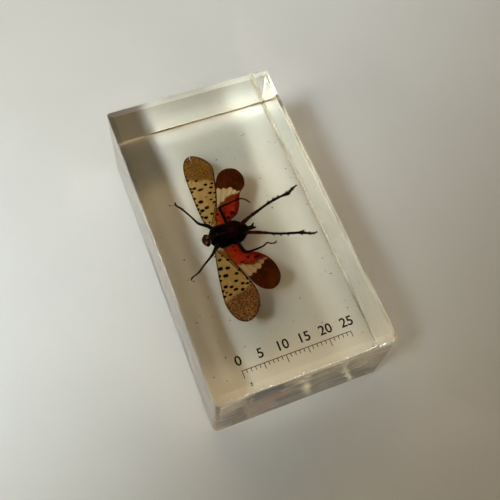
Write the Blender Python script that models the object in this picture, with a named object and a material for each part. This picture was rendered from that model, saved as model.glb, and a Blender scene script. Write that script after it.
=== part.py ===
"""An insect cast in a clear resin block: a planthopper with spread wings, sealed at mid height.

The block stands on the ground plane, its origin at the centre of its underside. +X runs across the
block, +Y along it, and +Z up. The insect lies across the block with its head towards -X, belly up,
one pair of wings towards +Y and the other towards -Y. The clear block is parted in two at the
insect's plane, and each half carries its side of the pocket that the insect fills.

Lengths are in millimetres in this file, and are scaled to metres as each mesh is made.
"""

import math

import bmesh
import bpy
from mathutils import Vector

MILLIMETRE = 0.001

# The clear block
BLOCK_WIDTH = 40.0
BLOCK_LENGTH = 73.0
BLOCK_HEIGHT = 24.0
BLOCK_EDGE_RADIUS = 1.1
BLOCK_EDGE_SEGMENTS = 3
PARTING_HEIGHT = 12.0
CLEARANCE = 0.3

# The insect's body, which is one turned form along X
BODY_Y = 0.85
BODY_Z = 12.3
BODY_SIDES = 20
POCKET_BODY_SIDES = 14
# x, half width, height above and depth below BODY_Z at each station from the brow to the tail
BODY_STATIONS = [
    (-9.35, 0.35, 0.25, 0.30),
    (-9.05, 0.95, 0.60, 0.75),
    (-8.55, 1.30, 0.85, 1.05),
    (-7.95, 1.28, 0.95, 1.20),
    (-7.50, 1.15, 0.95, 1.25),
    (-7.10, 1.75, 1.25, 1.55),
    (-6.50, 2.55, 1.70, 1.95),
    (-5.50, 2.90, 1.95, 2.25),
    (-4.20, 2.95, 2.00, 2.30),
    (-3.10, 2.80, 1.85, 2.15),
    (-2.30, 3.00, 1.80, 2.05),
    (-1.00, 2.95, 1.75, 1.95),
    (0.00, 2.45, 1.55, 1.70),
    (0.90, 1.70, 1.20, 1.30),
    (1.50, 1.00, 0.80, 0.85),
    (1.85, 0.40, 0.40, 0.40),
]
EYE_CENTRE = (-8.05, 1.15, 12.35)  # its Y is measured from BODY_Y, once to each side
EYE_RADIUS = 0.50

# The wings: closed outlines in plan, from the hinge along the front edge to the tip and back
WING_THICKNESS = 0.30
WING_STEPS = 3
FOREWING_Z = 12.10
HINDWING_Z = 11.95
WING_OUTLINES = {
    "far_forewing": (
        FOREWING_Z,
        [
            (-6.0, 2.6), (-7.2, 5.2), (-7.5, 9.0), (-7.5, 13.0), (-7.4, 17.5), (-7.0, 20.3),
            (-6.0, 22.3), (-4.5, 23.0), (-2.8, 22.3), (-1.2, 20.6), (-0.4, 18.3), (-0.9, 15.5),
            (-1.8, 12.0), (-3.0, 8.3), (-4.3, 5.2), (-4.6, 2.6),
        ],
    ),
    "far_hindwing": (
        HINDWING_Z,
        [
            (-4.9, 2.4), (-4.6, 5.0), (-3.3, 8.5), (-2.0, 12.2), (-0.9, 14.8), (0.6, 16.6),
            (2.6, 17.1), (4.6, 16.2), (5.55, 14.0), (5.0, 11.6), (3.5, 10.2), (2.6, 8.6),
            (1.9, 6.8), (0.6, 5.0), (-1.2, 4.0), (-1.4, 2.4),
        ],
    ),
    "near_forewing": (
        FOREWING_Z,
        [
            (-5.3, -0.6), (-4.7, -4.5), (-3.6, -7.5), (-2.7, -10.3), (-2.0, -12.7), (-1.85, -14.8),
            (-2.5, -17.2), (-4.1, -19.2), (-6.1, -19.95), (-7.9, -19.2), (-9.1, -17.2), (-9.55, -14.5),
            (-9.2, -11.2), (-8.6, -7.6), (-7.8, -3.8), (-6.9, -0.6),
        ],
    ),
    "near_hindwing": (
        HINDWING_Z,
        [
            (-1.8, -0.8), (-0.6, -4.1), (1.8, -5.6), (3.5, -7.5), (4.4, -9.8), (4.4, -12.2),
            (3.3, -14.0), (1.5, -14.75), (-0.4, -14.0), (-1.8, -12.2), (-2.6, -10.0), (-3.4, -7.9),
            (-4.5, -5.3), (-5.2, -2.6), (-5.0, -0.8),
        ],
    ),
}

# The limbs: x, y, z and radius at each bend, from inside the body to the tip of the foot
LIMB_SIDES = 8
POCKET_LIMB_SIDES = 6
LIMBS = {
    "far_foreleg": [
        (-5.8, 2.6, 13.0, 0.35), (-6.8, 4.0, 13.2, 0.33), (-8.5, 5.3, 13.1, 0.26), (-9.4, 7.3, 12.9, 0.18),
        (-10.8, 10.2, 12.6, 0.17), (-11.3, 10.9, 12.5, 0.13), (-11.8, 11.8, 12.4, 0.15), (-11.7, 12.4, 12.3, 0.09),
    ],
    "near_foreleg": [
        (-6.0, -0.6, 13.0, 0.35), (-7.0, -1.7, 13.2, 0.33), (-8.3, -3.0, 13.1, 0.25), (-10.5, -4.4, 12.8, 0.18),
        (-12.3, -5.7, 12.6, 0.16), (-13.2, -6.1, 12.5, 0.12), (-14.3, -6.5, 12.4, 0.14), (-14.6, -7.0, 12.3, 0.08),
    ],
    "far_middle_leg": [
        (-2.6, 2.6, 13.2, 0.40), (-2.6, 4.6, 13.5, 0.38), (-2.8, 7.0, 13.4, 0.30), (-2.6, 7.5, 13.4, 0.24),
        (-0.9, 7.75, 13.3, 0.20), (2.2, 8.2, 13.0, 0.17), (3.1, 8.05, 12.8, 0.12), (3.9, 7.45, 12.6, 0.13),
        (4.5, 6.6, 12.4, 0.10),
    ],
    "near_middle_leg": [
        (-2.2, -1.0, 13.2, 0.40), (-1.8, -2.8, 13.5, 0.38), (-1.5, -4.3, 13.4, 0.32), (-1.1, -4.9, 13.4, 0.26),
        (0.4, -5.05, 13.3, 0.20), (3.0, -4.8, 13.0, 0.16), (4.3, -4.25, 12.8, 0.13), (5.1, -4.65, 12.6, 0.12),
        (6.0, -4.8, 12.5, 0.13), (6.5, -4.4, 12.4, 0.09),
    ],
    "far_hind_leg": [
        (-0.6, 1.7, 12.9, 0.34), (1.2, 2.25, 13.2, 0.33), (3.1, 3.1, 13.2, 0.30), (5.1, 3.8, 13.1, 0.26),
        (8.0, 4.85, 12.9, 0.21), (11.0, 5.6, 12.7, 0.22), (13.6, 5.95, 12.5, 0.26), (14.3, 6.3, 12.4, 0.14),
        (15.1, 6.75, 12.3, 0.19), (15.6, 7.0, 12.3, 0.11), (16.4, 7.3, 12.2, 0.10),
    ],
    "near_hind_leg": [
        (-0.4, 0.1, 12.9, 0.34), (1.6, -0.65, 13.2, 0.33), (3.1, -1.2, 13.2, 0.30), (4.7, -1.85, 13.1, 0.26),
        (7.6, -3.05, 12.9, 0.19), (10.2, -3.8, 12.7, 0.20), (12.8, -4.5, 12.5, 0.26), (13.4, -4.75, 12.4, 0.15),
        (14.4, -5.2, 12.3, 0.19), (15.3, -5.5, 12.3, 0.11), (16.1, -5.4, 12.2, 0.10),
    ],
    "beak": [(-8.6, 0.85, 12.9, 0.30), (-7.2, 0.85, 13.7, 0.26), (-5.0, 0.85, 14.35, 0.22), (-3.4, 0.85, 14.3, 0.12)],
    "far_tail_lobe": [(1.2, 0.9, 12.3, 0.50), (2.3, 0.75, 12.3, 0.45), (2.9, 1.15, 12.3, 0.26), (3.35, 1.6, 12.3, 0.16)],
    "near_tail_lobe": [(1.2, 0.6, 12.3, 0.45), (2.4, 0.55, 12.3, 0.42), (3.1, 0.45, 12.3, 0.30), (3.5, 0.3, 12.3, 0.16)],
}

# The spines of the two hind shins: where each stands, and the way it points in plan
SPINE_HEIGHT = 0.60
SPINE_BASE_RADIUS = 0.14
SPINE_TIP_RADIUS = 0.03
SPINE_SIDES = 5
SPINES = {
    "far_hind_leg": ((0.45, 0.9), [(8.2, 5.0, 12.9), (9.6, 5.4, 12.8), (10.9, 5.65, 12.7), (13.2, 6.05, 12.5)]),
    "near_hind_leg": ((0.35, -0.95), [(6.3, -2.6, 12.95), (7.8, -3.15, 12.9), (9.4, -3.6, 12.75), (12.4, -4.45, 12.55)]),
}


# The looks
RESIN_COLOUR = (0.86, 0.84, 0.74)
RESIN_ROUGHNESS = 0.05
INSECT_COLOUR = (0.10, 0.06, 0.035)
INSECT_ROUGHNESS = 0.45
SHARP_ANGLE = math.radians(40)


def add_mesh_object(name, bm):
    """Turn a bmesh in millimetres into a mesh object in metres, with its faces pointing out."""
    bmesh.ops.recalc_face_normals(bm, faces=bm.faces)
    bmesh.ops.scale(bm, vec=Vector((MILLIMETRE,) * 3), verts=bm.verts)
    mesh = bpy.data.meshes.new(name)
    bm.to_mesh(mesh)
    bm.free()
    obj = bpy.data.objects.new(name, mesh)
    bpy.context.scene.collection.objects.link(obj)
    return obj


def add_material(obj, colour, roughness, transmission=0.0):
    """Give an object a Principled BSDF material of its own."""
    material = bpy.data.materials.new(obj.name)
    material.use_nodes = True
    shader = material.node_tree.nodes["Principled BSDF"]
    shader.inputs["Base Color"].default_value = (*colour, 1.0)
    shader.inputs["Roughness"].default_value = roughness
    shader.inputs["Metallic"].default_value = 0.0
    shader.inputs["Transmission Weight"].default_value = transmission
    obj.data.materials.clear()
    obj.data.materials.append(material)


def shade(obj):
    """Shade an object smooth, with its real edges kept sharp."""
    obj.data.shade_smooth()
    obj.data.set_sharp_from_angle(angle=SHARP_ANGLE)


def bridge_rings(bm, rings):
    """Join a row of rings of equal count with quads, and close both ends."""
    count = len(rings[0])
    for ring, following in zip(rings, rings[1:]):
        for i in range(count):
            j = (i + 1) % count
            bm.faces.new((ring[i], ring[j], following[j], following[i]))
    bm.faces.new(rings[0])
    bm.faces.new(rings[-1])


def flats_factor(sides):
    """What a ring's radius is multiplied by for its flats to reach where its corners were."""
    return 1.0 / math.cos(math.pi / sides)


def body(grow):
    """The head, thorax and abdomen as one lofted form, made larger by grow all round."""
    sides = POCKET_BODY_SIDES if grow else BODY_SIDES
    widen = flats_factor(sides) if grow else 1.0
    bm = bmesh.new()
    rings = []
    last = len(BODY_STATIONS) - 1
    for n, (x, half_width, above, below) in enumerate(BODY_STATIONS):
        x += grow * ((n == last) - (n == 0))
        ring = []
        for i in range(sides):
            angle = 2 * math.pi * i / sides
            height = ((above if math.sin(angle) > 0 else below) + grow) * widen
            y = BODY_Y + (half_width + grow) * widen * math.cos(angle)
            ring.append(bm.verts.new((x, y, BODY_Z + height * math.sin(angle))))
        rings.append(ring)
    bridge_rings(bm, rings)
    return add_mesh_object("body", bm)


def eye(side, grow):
    """One of the two round eyes, on the +Y side of the head or on the -Y side."""
    x, offset, z = EYE_CENTRE
    bm = bmesh.new()
    bmesh.ops.create_icosphere(bm, subdivisions=2, radius=EYE_RADIUS + grow)
    bmesh.ops.translate(bm, vec=Vector((x, BODY_Y + side * offset, z)), verts=bm.verts)
    return add_mesh_object("eye", bm)


def smooth_outline(corners, steps):
    """Points of the closed Catmull-Rom curve through the corners, steps to each span."""
    count = len(corners)
    points = []
    for i in range(count):
        a, b, c, d = (Vector(corners[(i + k) % count]) for k in (-1, 0, 1, 2))
        for step in range(steps):
            t = step / steps
            points.append(0.5 * (2 * b + (c - a) * t + (2 * a - 5 * b + 4 * c - d) * t**2
                                 + (3 * b - a - 3 * c + d) * t**3))
    return points


def offset_outline(points, distance):
    """The outline moved outwards by distance. The points run clockwise round the shape."""
    moved = []
    for before, point, after in zip(points[-1:] + points[:-1], points, points[1:] + points[:1]):
        along = (after - before).normalized()
        moved.append(point + distance * Vector((-along.y, along.x)))
    return moved


def wing(name, grow):
    """A wing as a flat plate of its outline, made larger by grow all round."""
    height, corners = WING_OUTLINES[name]
    points = offset_outline(smooth_outline(corners, WING_STEPS), grow)
    half = WING_THICKNESS / 2 + grow
    bm = bmesh.new()
    rings = [[bm.verts.new((p.x, p.y, height + z)) for p in points] for z in (-half, half)]
    bridge_rings(bm, rings)
    return add_mesh_object(name, bm)


def limb(name, grow):
    """A leg, the beak or a tail lobe: a tube through its bends, with a radius at each.

    Its pocket is a plainer tube, wide enough for the spines, and longer at the tip.
    """
    sides = POCKET_LIMB_SIDES if grow else LIMB_SIDES
    stations = [(Vector(bend[:3]), bend[3]) for bend in LIMBS[name]]
    if grow:
        reach = SPINE_HEIGHT if name in SPINES else 0.0
        stations = [(point, (max(radius, reach) + grow) * flats_factor(sides)) for point, radius in stations]
        before, tip = stations[-2][0], stations[-1][0]
        stations[-1] = (tip + grow * (tip - before).normalized(), stations[-1][1])
    bm = bmesh.new()
    rings = []
    last = len(stations) - 1
    for n, (point, radius) in enumerate(stations):
        along = (stations[min(n + 1, last)][0] - stations[max(n - 1, 0)][0]).normalized()
        across = along.cross(Vector((0, 0, 1))).normalized()
        upward = across.cross(along)
        ring = []
        for i in range(sides):
            angle = 2 * math.pi * i / sides
            ring.append(bm.verts.new(point + radius * (math.cos(angle) * across + math.sin(angle) * upward)))
        rings.append(ring)
    bridge_rings(bm, rings)
    return add_mesh_object(name, bm)


def spines(name):
    """The row of spines along one hind shin, each a small cone rooted inside the shin."""
    (x, y), feet = SPINES[name]
    direction = Vector((x, y, 0)).normalized()
    turn = direction.to_track_quat("Z", "Y").to_matrix().to_4x4()
    bm = bmesh.new()
    for foot in feet:
        cone = bmesh.ops.create_cone(
            bm, cap_ends=True, segments=SPINE_SIDES, radius1=SPINE_BASE_RADIUS, radius2=SPINE_TIP_RADIUS,
            depth=SPINE_HEIGHT,
        )["verts"]
        bmesh.ops.transform(bm, matrix=turn, verts=cone)
        bmesh.ops.translate(bm, vec=Vector(foot) + direction * SPINE_HEIGHT / 2, verts=cone)
    return add_mesh_object(name + "_spines", bm)


def combine(operation, first, others):
    """Join others to first, or cut them from it, and leave first as a plain mesh."""
    for other in others:
        modifier = first.modifiers.new(other.name, "BOOLEAN")
        modifier.operation = operation
        modifier.object = other
    bpy.context.view_layer.update()
    evaluated = first.evaluated_get(bpy.context.evaluated_depsgraph_get())
    first.data = bpy.data.meshes.new_from_object(evaluated)
    first.modifiers.clear()
    for other in others:
        bpy.data.objects.remove(other)
    return first


def insect(name, grow):
    """The whole insect as one solid, or with grow the larger form that hollows its pocket."""
    parts = [eye(+1, grow), eye(-1, grow)]
    parts += [wing(outline, grow) for outline in WING_OUTLINES]
    parts += [limb(limb_name, grow) for limb_name in LIMBS]
    if not grow:
        parts += [spines(shin) for shin in SPINES]
    fused = combine("UNION", body(grow), parts)
    fused.name = name
    return fused


def block_half(name, parting, cut_side):
    """The rounded block cut flat at a height, with what lies past it on the cut side taken off."""
    bm = bmesh.new()
    bmesh.ops.create_cube(bm, size=1.0)
    bmesh.ops.scale(bm, vec=Vector((BLOCK_WIDTH, BLOCK_LENGTH, BLOCK_HEIGHT)), verts=bm.verts)
    bmesh.ops.translate(bm, vec=Vector((0, 0, BLOCK_HEIGHT / 2)), verts=bm.verts)
    bmesh.ops.bevel(
        bm, geom=bm.edges[:], offset=BLOCK_EDGE_RADIUS, segments=BLOCK_EDGE_SEGMENTS, profile=0.5, affect="EDGES"
    )
    cut = bmesh.ops.bisect_plane(
        bm, geom=bm.verts[:] + bm.edges[:] + bm.faces[:], plane_co=Vector((0, 0, parting)),
        plane_no=Vector((0, 0, cut_side)), clear_outer=True,
    )
    rim = [item for item in cut["geom_cut"] if isinstance(item, bmesh.types.BMEdge)]
    bmesh.ops.contextual_create(bm, geom=rim)
    return add_mesh_object(name, bm)


def main():
    for obj in list(bpy.data.objects):
        bpy.data.objects.remove(obj)

    resin_lower_half = block_half("resin_lower_half", PARTING_HEIGHT - CLEARANCE / 2, +1)
    resin_upper_half = block_half("resin_upper_half", PARTING_HEIGHT + CLEARANCE / 2, -1)
    planthopper = insect("planthopper", 0.0)
    for half in (resin_lower_half, resin_upper_half):
        combine("DIFFERENCE", half, [insect("pocket", CLEARANCE)])
        add_material(half, RESIN_COLOUR, RESIN_ROUGHNESS, transmission=1.0)
        shade(half)
    add_material(planthopper, INSECT_COLOUR, INSECT_ROUGHNESS)
    shade(planthopper)


main()
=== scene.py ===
"""The looks of an insect cast in a clear resin block: a planthopper with spread wings, belly up.

The block stands on the floor at Z = 0. +X runs across it, +Y along it, away from the camera, and +Z
up. The insect lies across the block at mid height, its head towards -X. Sizes are in millimetres in
the classes below, and each mesh is scaled to metres once it is modelled.
"""

from __future__ import annotations

import logging
import math
import random
from contextlib import contextmanager
from dataclasses import dataclass, field
from enum import Enum
from typing import Iterator, Protocol, Sequence

import bmesh
import bpy
import numpy as np
from mathutils import Matrix, Vector, noise


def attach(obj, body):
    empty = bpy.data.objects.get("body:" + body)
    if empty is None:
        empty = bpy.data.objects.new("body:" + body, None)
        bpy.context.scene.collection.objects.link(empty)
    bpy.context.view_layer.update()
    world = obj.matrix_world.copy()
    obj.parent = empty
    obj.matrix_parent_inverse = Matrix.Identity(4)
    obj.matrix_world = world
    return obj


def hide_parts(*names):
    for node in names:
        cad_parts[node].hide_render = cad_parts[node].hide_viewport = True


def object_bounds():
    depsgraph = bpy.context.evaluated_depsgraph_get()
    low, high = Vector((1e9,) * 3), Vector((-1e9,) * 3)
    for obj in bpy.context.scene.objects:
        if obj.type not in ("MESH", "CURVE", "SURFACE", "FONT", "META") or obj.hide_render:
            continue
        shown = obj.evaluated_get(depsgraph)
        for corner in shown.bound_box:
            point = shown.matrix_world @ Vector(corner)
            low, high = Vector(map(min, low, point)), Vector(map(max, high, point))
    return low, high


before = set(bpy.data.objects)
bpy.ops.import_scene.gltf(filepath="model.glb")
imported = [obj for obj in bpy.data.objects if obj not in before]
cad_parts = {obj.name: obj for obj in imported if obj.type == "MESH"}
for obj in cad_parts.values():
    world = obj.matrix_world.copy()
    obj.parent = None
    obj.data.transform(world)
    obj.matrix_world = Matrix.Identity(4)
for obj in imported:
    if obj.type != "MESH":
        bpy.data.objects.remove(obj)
CAD_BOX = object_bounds()

MM = 0.001
LOG = logging.getLogger("insect_in_resin")
SPECIMEN = "planthopper"
SPIKE_TIP = 0.12
CRUMPLE_SEED = 3
RIPPLE_SHIFT = Vector((5.0, 2.0, 9.0))

Point2 = tuple[float, float]
Point3 = tuple[float, float, float]
Bend = tuple[float, float, float, float]
Colour = tuple[float, float, float]
Facet = tuple[float, float]
Socket = bpy.types.NodeSocket
Number = Socket | float
Piece = bpy.types.Object


class Side(Enum):
    """The side of the body that a wing is on: +Y is far from the camera, -Y is near."""

    FAR = 1
    NEAR = -1


class Slot(Enum):
    """The record's material slots."""

    RESIN = "resin"
    INSECT = "insect"


# ---------------------------------------------------------------------------------------------
# The bench: the operators that every piece is made with
# ---------------------------------------------------------------------------------------------


def clear_selection() -> None:
    """Leave edit mode and deselect everything, the CAD nodes included."""
    if bpy.context.object and bpy.context.object.mode != "OBJECT":
        bpy.ops.object.mode_set(mode="OBJECT")
    bpy.ops.object.select_all(action="DESELECT")


def work_on(piece: Piece) -> None:
    """Make one piece the only selected and the active object.

    Args:
        piece: the object that the next operators act on.
    """
    clear_selection()
    piece.select_set(True)
    bpy.context.view_layer.objects.active = piece


def settle(name: str) -> Piece:
    """Name the active object, and put its place, turn and scale into its mesh.

    Args:
        name: the piece's name.

    Returns:
        The object, at the origin, unturned and unscaled.
    """
    piece = bpy.context.object
    piece.name = name
    piece.data.name = name
    bpy.ops.object.transform_apply(location=True, rotation=True, scale=True)
    return piece


@contextmanager
def editing(piece: Piece, everything: bool = True) -> Iterator[None]:
    """Hold a piece in edit mode.

    Args:
        piece: the mesh object.
        everything: whether all of it is selected first.

    Yields:
        Nothing, once the piece is in edit mode.
    """
    work_on(piece)
    bpy.ops.object.mode_set(mode="EDIT")
    if everything:
        bpy.ops.mesh.select_all(action="SELECT")
    yield
    bpy.ops.object.mode_set(mode="OBJECT")


def apply_modifier(piece: Piece, kind: str, **settings: object) -> None:
    """Add a modifier to a piece and apply it.

    Args:
        piece: the object to change.
        kind: the modifier's type.
        settings: its properties by name.
    """
    work_on(piece)
    bpy.ops.object.modifier_add(type=kind)
    modifier = piece.modifiers[-1]
    for name, value in settings.items():
        setattr(modifier, name, value)
    bpy.ops.object.modifier_apply(modifier=modifier.name)


def melt(piece: Piece, voxel: float, rounds: int) -> None:
    """Melt overlapping parts into one skin, and smooth it.

    Args:
        piece: the joined parts.
        voxel: the size of the skin's faces, in mm.
        rounds: how many times it is smoothed.
    """
    apply_modifier(piece, "REMESH", mode="VOXEL", voxel_size=voxel)
    apply_modifier(piece, "SMOOTH", factor=0.5, iterations=rounds)


def join(pieces: Sequence[Piece], name: str) -> Piece:
    """Join pieces into one object.

    Args:
        pieces: the objects, of which the first keeps its data.
        name: the name of the result.

    Returns:
        The joined object.
    """
    clear_selection()
    for piece in pieces:
        piece.select_set(True)
    bpy.context.view_layer.objects.active = pieces[0]
    if len(pieces) > 1:
        bpy.ops.object.join()
    return settle(name)


def ball(
    name: str, centre: Point3, radii: Point3, turn: float = 0.0, segments: int = 20, rings: int = 12,
) -> Piece:
    """An ellipsoid, from a sphere primitive.

    Args:
        name: the piece's name.
        centre: its centre, in mm.
        radii: its half sizes along X, Y and Z before it is turned, in mm.
        turn: how far it is turned about Z, in degrees.
        segments: its faces round.
        rings: its faces from pole to pole.

    Returns:
        The object, in mm.
    """
    clear_selection()
    bpy.ops.mesh.primitive_uv_sphere_add(
        segments=segments, ring_count=rings, radius=1.0,
        location=centre, rotation=(0, 0, math.radians(turn)), scale=radii,
    )
    return settle(name)


def spike(name: str, foot: Vector, tip: Vector, radius: float, sides: int = 6) -> Piece:
    """A thin cone from its foot to its tip, for a spine, a claw or a bristle.

    Args:
        name: the piece's name.
        foot: the middle of its base, in mm.
        tip: its point, in mm.
        radius: its radius at the foot, in mm.
        sides: its faces round.

    Returns:
        The object, in mm.
    """
    clear_selection()
    along = tip - foot
    turn = along.to_track_quat("Z", "Y").to_euler()
    bpy.ops.mesh.primitive_cone_add(
        vertices=sides, radius1=radius, radius2=radius * SPIKE_TIP, depth=along.length,
        location=(foot + tip) / 2, rotation=turn,
    )
    return settle(name)


def smooth_path(
    bends: Sequence[Sequence[float]], steps: int, closed: bool = False,
) -> list[tuple[float, ...]]:
    """Points of the Catmull-Rom curve through some bends, in any number of dimensions.

    Args:
        bends: the points that the curve goes through.
        steps: the points for each span.
        closed: whether the last bend runs on into the first.

    Returns:
        The points, the last bend included where the curve is open.
    """
    count = len(bends)
    spans = count if closed else count - 1
    points = []
    for i in range(spans):
        index = [(i + k) % count if closed else min(max(i + k, 0), count - 1) for k in (-1, 0, 1, 2)]
        a, b, c, d = (np.array(bends[k], float) for k in index)
        for step in range(steps):
            t = step / steps
            points.append(tuple(0.5 * (2 * b + (c - a) * t + (2 * a - 5 * b + 4 * c - d) * t**2
                                       + (3 * b - a - 3 * c + d) * t**3)))
    if not closed:
        points.append(tuple(bends[-1]))
    return points


def tube(name: str, stations: Sequence[Sequence[float]], resolution: int = 3) -> Piece:
    """A round tube from a bevelled curve, made a mesh.

    Args:
        name: the piece's name.
        stations: x, y, z and radius at each point, in mm.
        resolution: the bevel's resolution, which gives 4 + 2 * resolution sides.

    Returns:
        The mesh object, in mm, with its ends closed.
    """
    clear_selection()
    line = bpy.data.curves.new(name, "CURVE")
    line.dimensions = "3D"
    line.bevel_depth = 1.0
    line.bevel_resolution = resolution
    line.use_fill_caps = True
    spline = line.splines.new("POLY")
    spline.points.add(len(stations) - 1)
    for point, (x, y, z, radius) in zip(spline.points, stations):
        point.co = (x, y, z, 1.0)
        point.radius = radius
    piece = bpy.data.objects.new(name, line)
    bpy.context.scene.collection.objects.link(piece)
    work_on(piece)
    bpy.ops.object.convert(target="MESH")
    return settle(name)


def shade(piece: Piece, degrees: float = 40.0) -> None:
    """Shade a piece smooth, with edges sharper than an angle kept.

    Args:
        piece: the mesh object.
        degrees: the angle.
    """
    work_on(piece)
    bpy.ops.object.shade_smooth_by_angle(angle=math.radians(degrees))


def read_points(piece: Piece) -> np.ndarray:
    """Read the vertices of a mesh object.

    Args:
        piece: the mesh object, in mm.

    Returns:
        Rows x, y, z, in mm.
    """
    values = np.zeros(len(piece.data.vertices) * 3, np.float32)
    piece.data.vertices.foreach_get("co", values)
    return values.reshape(-1, 3).astype(float)


def write_points(piece: Piece, points: np.ndarray) -> None:
    """Move the vertices of a mesh object to the rows of an array."""
    piece.data.vertices.foreach_set("co", points.astype(np.float32).ravel())
    piece.data.update()


def write_field(piece: Piece, name: str, values: np.ndarray) -> None:
    """Keep a number for each vertex of a piece, which its material reads by name.

    Args:
        piece: the mesh object.
        name: the attribute's name.
        values: one number for each vertex.
    """
    attribute = piece.data.attributes.new(name, "FLOAT", "POINT")
    attribute.data.foreach_set("value", values.astype(np.float32))


def roughen(piece: Piece, amount: float, scale: float) -> None:
    """Crumple a small piece by a vector noise, which needs a seed to come out the same each time.

    Args:
        piece: the mesh object, in mm.
        amount: how far a point moves at most, in mm.
        scale: how fine the noise is, per mm.
    """
    noise.seed_set(CRUMPLE_SEED)
    points = read_points(piece)
    crumple = np.array([noise.noise_vector(Vector(p) * scale) for p in points])
    write_points(piece, points + amount * crumple)


def hump(distance: np.ndarray) -> np.ndarray:
    """1 at no distance, falling off smoothly to both sides."""
    return np.exp(-(distance**2))


def darker(colour: Colour, share: float) -> Colour:
    """A colour brought down to a share of its brightness."""
    return tuple(share * part for part in colour)


def towards(bearing: float, elevation: float) -> Vector:
    """The unit vector to a place in the sky.

    Args:
        bearing: its angle from X towards Y, in degrees.
        elevation: its angle above the floor, in degrees.

    Returns:
        The vector.
    """
    bearing, elevation = math.radians(bearing), math.radians(elevation)
    level = math.cos(elevation)
    return Vector((math.cos(bearing) * level, math.sin(bearing) * level, math.sin(elevation)))


# ---------------------------------------------------------------------------------------------
# The finishes
# ---------------------------------------------------------------------------------------------


class Board:
    """A material's node tree, with short ways to add nodes and to join them."""

    def __init__(self, name: str) -> None:
        """Make a material with a Principled shader on an otherwise empty tree.

        Args:
            name: the material's name.
        """
        self.material = bpy.data.materials.new(name)
        self.material.use_nodes = True
        self.tree = self.material.node_tree
        self.shader = self.tree.nodes["Principled BSDF"]
        self.output = self.tree.nodes["Material Output"]

    def add(self, kind: str, **properties: object) -> bpy.types.Node:
        """Add a node.

        Args:
            kind: the node's type.
            properties: its properties by name.

        Returns:
            The node.
        """
        node = self.tree.nodes.new(kind)
        for name, value in properties.items():
            setattr(node, name, value)
        return node

    def feed(self, socket: Socket, value: Socket | float | Sequence[float]) -> None:
        """Join a socket to another, or set it to a value.

        Args:
            socket: the input.
            value: another node's output, or the value.
        """
        if isinstance(value, bpy.types.NodeSocket):
            self.tree.links.new(value, socket)
        else:
            socket.default_value = value

    def set(self, **values: object) -> None:
        """Feed the Principled shader's inputs, named with _ for spaces."""
        for name, value in values.items():
            self.feed(self.shader.inputs[name.replace("_", " ")], value)

    def field(self, name: str) -> Socket:
        """A vertex number that write_field kept."""
        return self.add("ShaderNodeAttribute", attribute_name=name).outputs["Fac"]

    def place(self, scale: float | Point3 = 1 / MM, turn: Point3 = (0.0, 0.0, 0.0)) -> Socket:
        """Object coordinates, turned and scaled.

        Args:
            scale: the factor, which by default gives millimetres.
            turn: the turn about X, Y and Z, in degrees.

        Returns:
            The vector socket.
        """
        coordinate = self.add("ShaderNodeTexCoord").outputs["Object"]
        mapping = self.add("ShaderNodeMapping")
        mapping.inputs["Scale"].default_value = (scale,) * 3 if isinstance(scale, float) else scale
        mapping.inputs["Rotation"].default_value = [math.radians(angle) for angle in turn]
        self.feed(mapping.inputs["Vector"], coordinate)
        return mapping.outputs["Vector"]

    def stretched(self, spread: Point3) -> Socket:
        """Object coordinates, by which a pattern repeats so many times per mm along each axis."""
        return self.place(tuple(part / MM for part in spread))

    def unwrapped(self, scale: Point3) -> Socket:
        """The piece's own UV map, by which a pattern repeats along and across it.

        Args:
            scale: how many times it repeats across, along and through.

        Returns:
            The vector socket.
        """
        mapping = self.add("ShaderNodeMapping")
        mapping.inputs["Scale"].default_value = scale
        self.feed(mapping.inputs["Vector"], self.add("ShaderNodeUVMap").outputs["UV"])
        return mapping.outputs["Vector"]

    def noise(self, where: Socket, scale: float, detail: float = 3.0, distortion: float = 0.0) -> Socket:
        """A noise texture's value, 0 to 1.

        Args:
            where: the place that it is read at.
            scale: how fine it is.
            detail: how many finer noises are added to it.
            distortion: how much it is swirled.

        Returns:
            The value socket.
        """
        node = self.add("ShaderNodeTexNoise")
        self.feed(node.inputs["Vector"], where)
        self.feed(node.inputs["Scale"], scale)
        self.feed(node.inputs["Detail"], detail)
        self.feed(node.inputs["Distortion"], distortion)
        return node.outputs["Fac"]

    def cells(self, where: Socket, scale: float, randomness: float = 1.0) -> Socket:
        """The distance to the nearest wall of a Voronoi texture's cells.

        Args:
            where: the place that it is read at.
            scale: how many cells there are to a unit.
            randomness: 0 for a plain grid and 1 for even chance.

        Returns:
            The distance socket.
        """
        node = self.add("ShaderNodeTexVoronoi", feature="DISTANCE_TO_EDGE")
        self.feed(node.inputs["Vector"], where)
        self.feed(node.inputs["Scale"], scale)
        self.feed(node.inputs["Randomness"], randomness)
        return node.outputs["Distance"]

    def flecks(self, where: Socket, scale: float) -> Socket:
        """The distance to the middle of the nearest cell of a Voronoi texture.

        Args:
            where: the place that it is read at.
            scale: how many cells there are to a unit.

        Returns:
            The distance socket.
        """
        node = self.add("ShaderNodeTexVoronoi", feature="F1")
        self.feed(node.inputs["Vector"], where)
        self.feed(node.inputs["Scale"], scale)
        return node.outputs["Distance"]

    def reckon(self, operation: str, a: Number, b: Number = 0.0) -> Socket:
        """Reckon with a Math node.

        Args:
            operation: what it does.
            a: the first value.
            b: the second value, where it takes one.

        Returns:
            The result's socket.
        """
        node = self.add("ShaderNodeMath", operation=operation)
        self.feed(node.inputs[0], a)
        self.feed(node.inputs[1], b)
        return node.outputs[0]

    def times(self, a: Number, b: Number) -> Socket:
        """One value times another."""
        return self.reckon("MULTIPLY", a, b)

    def less(self, a: Number, b: Number) -> Socket:
        """One value less another."""
        return self.reckon("SUBTRACT", a, b)

    def plus(self, first: Number, *more: Number) -> Socket:
        """Add some values up.

        Args:
            first: the first value.
            more: the others.

        Returns:
            The sum's socket.
        """
        for value in more:
            first = self.reckon("ADD", first, value)
        return first

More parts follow.
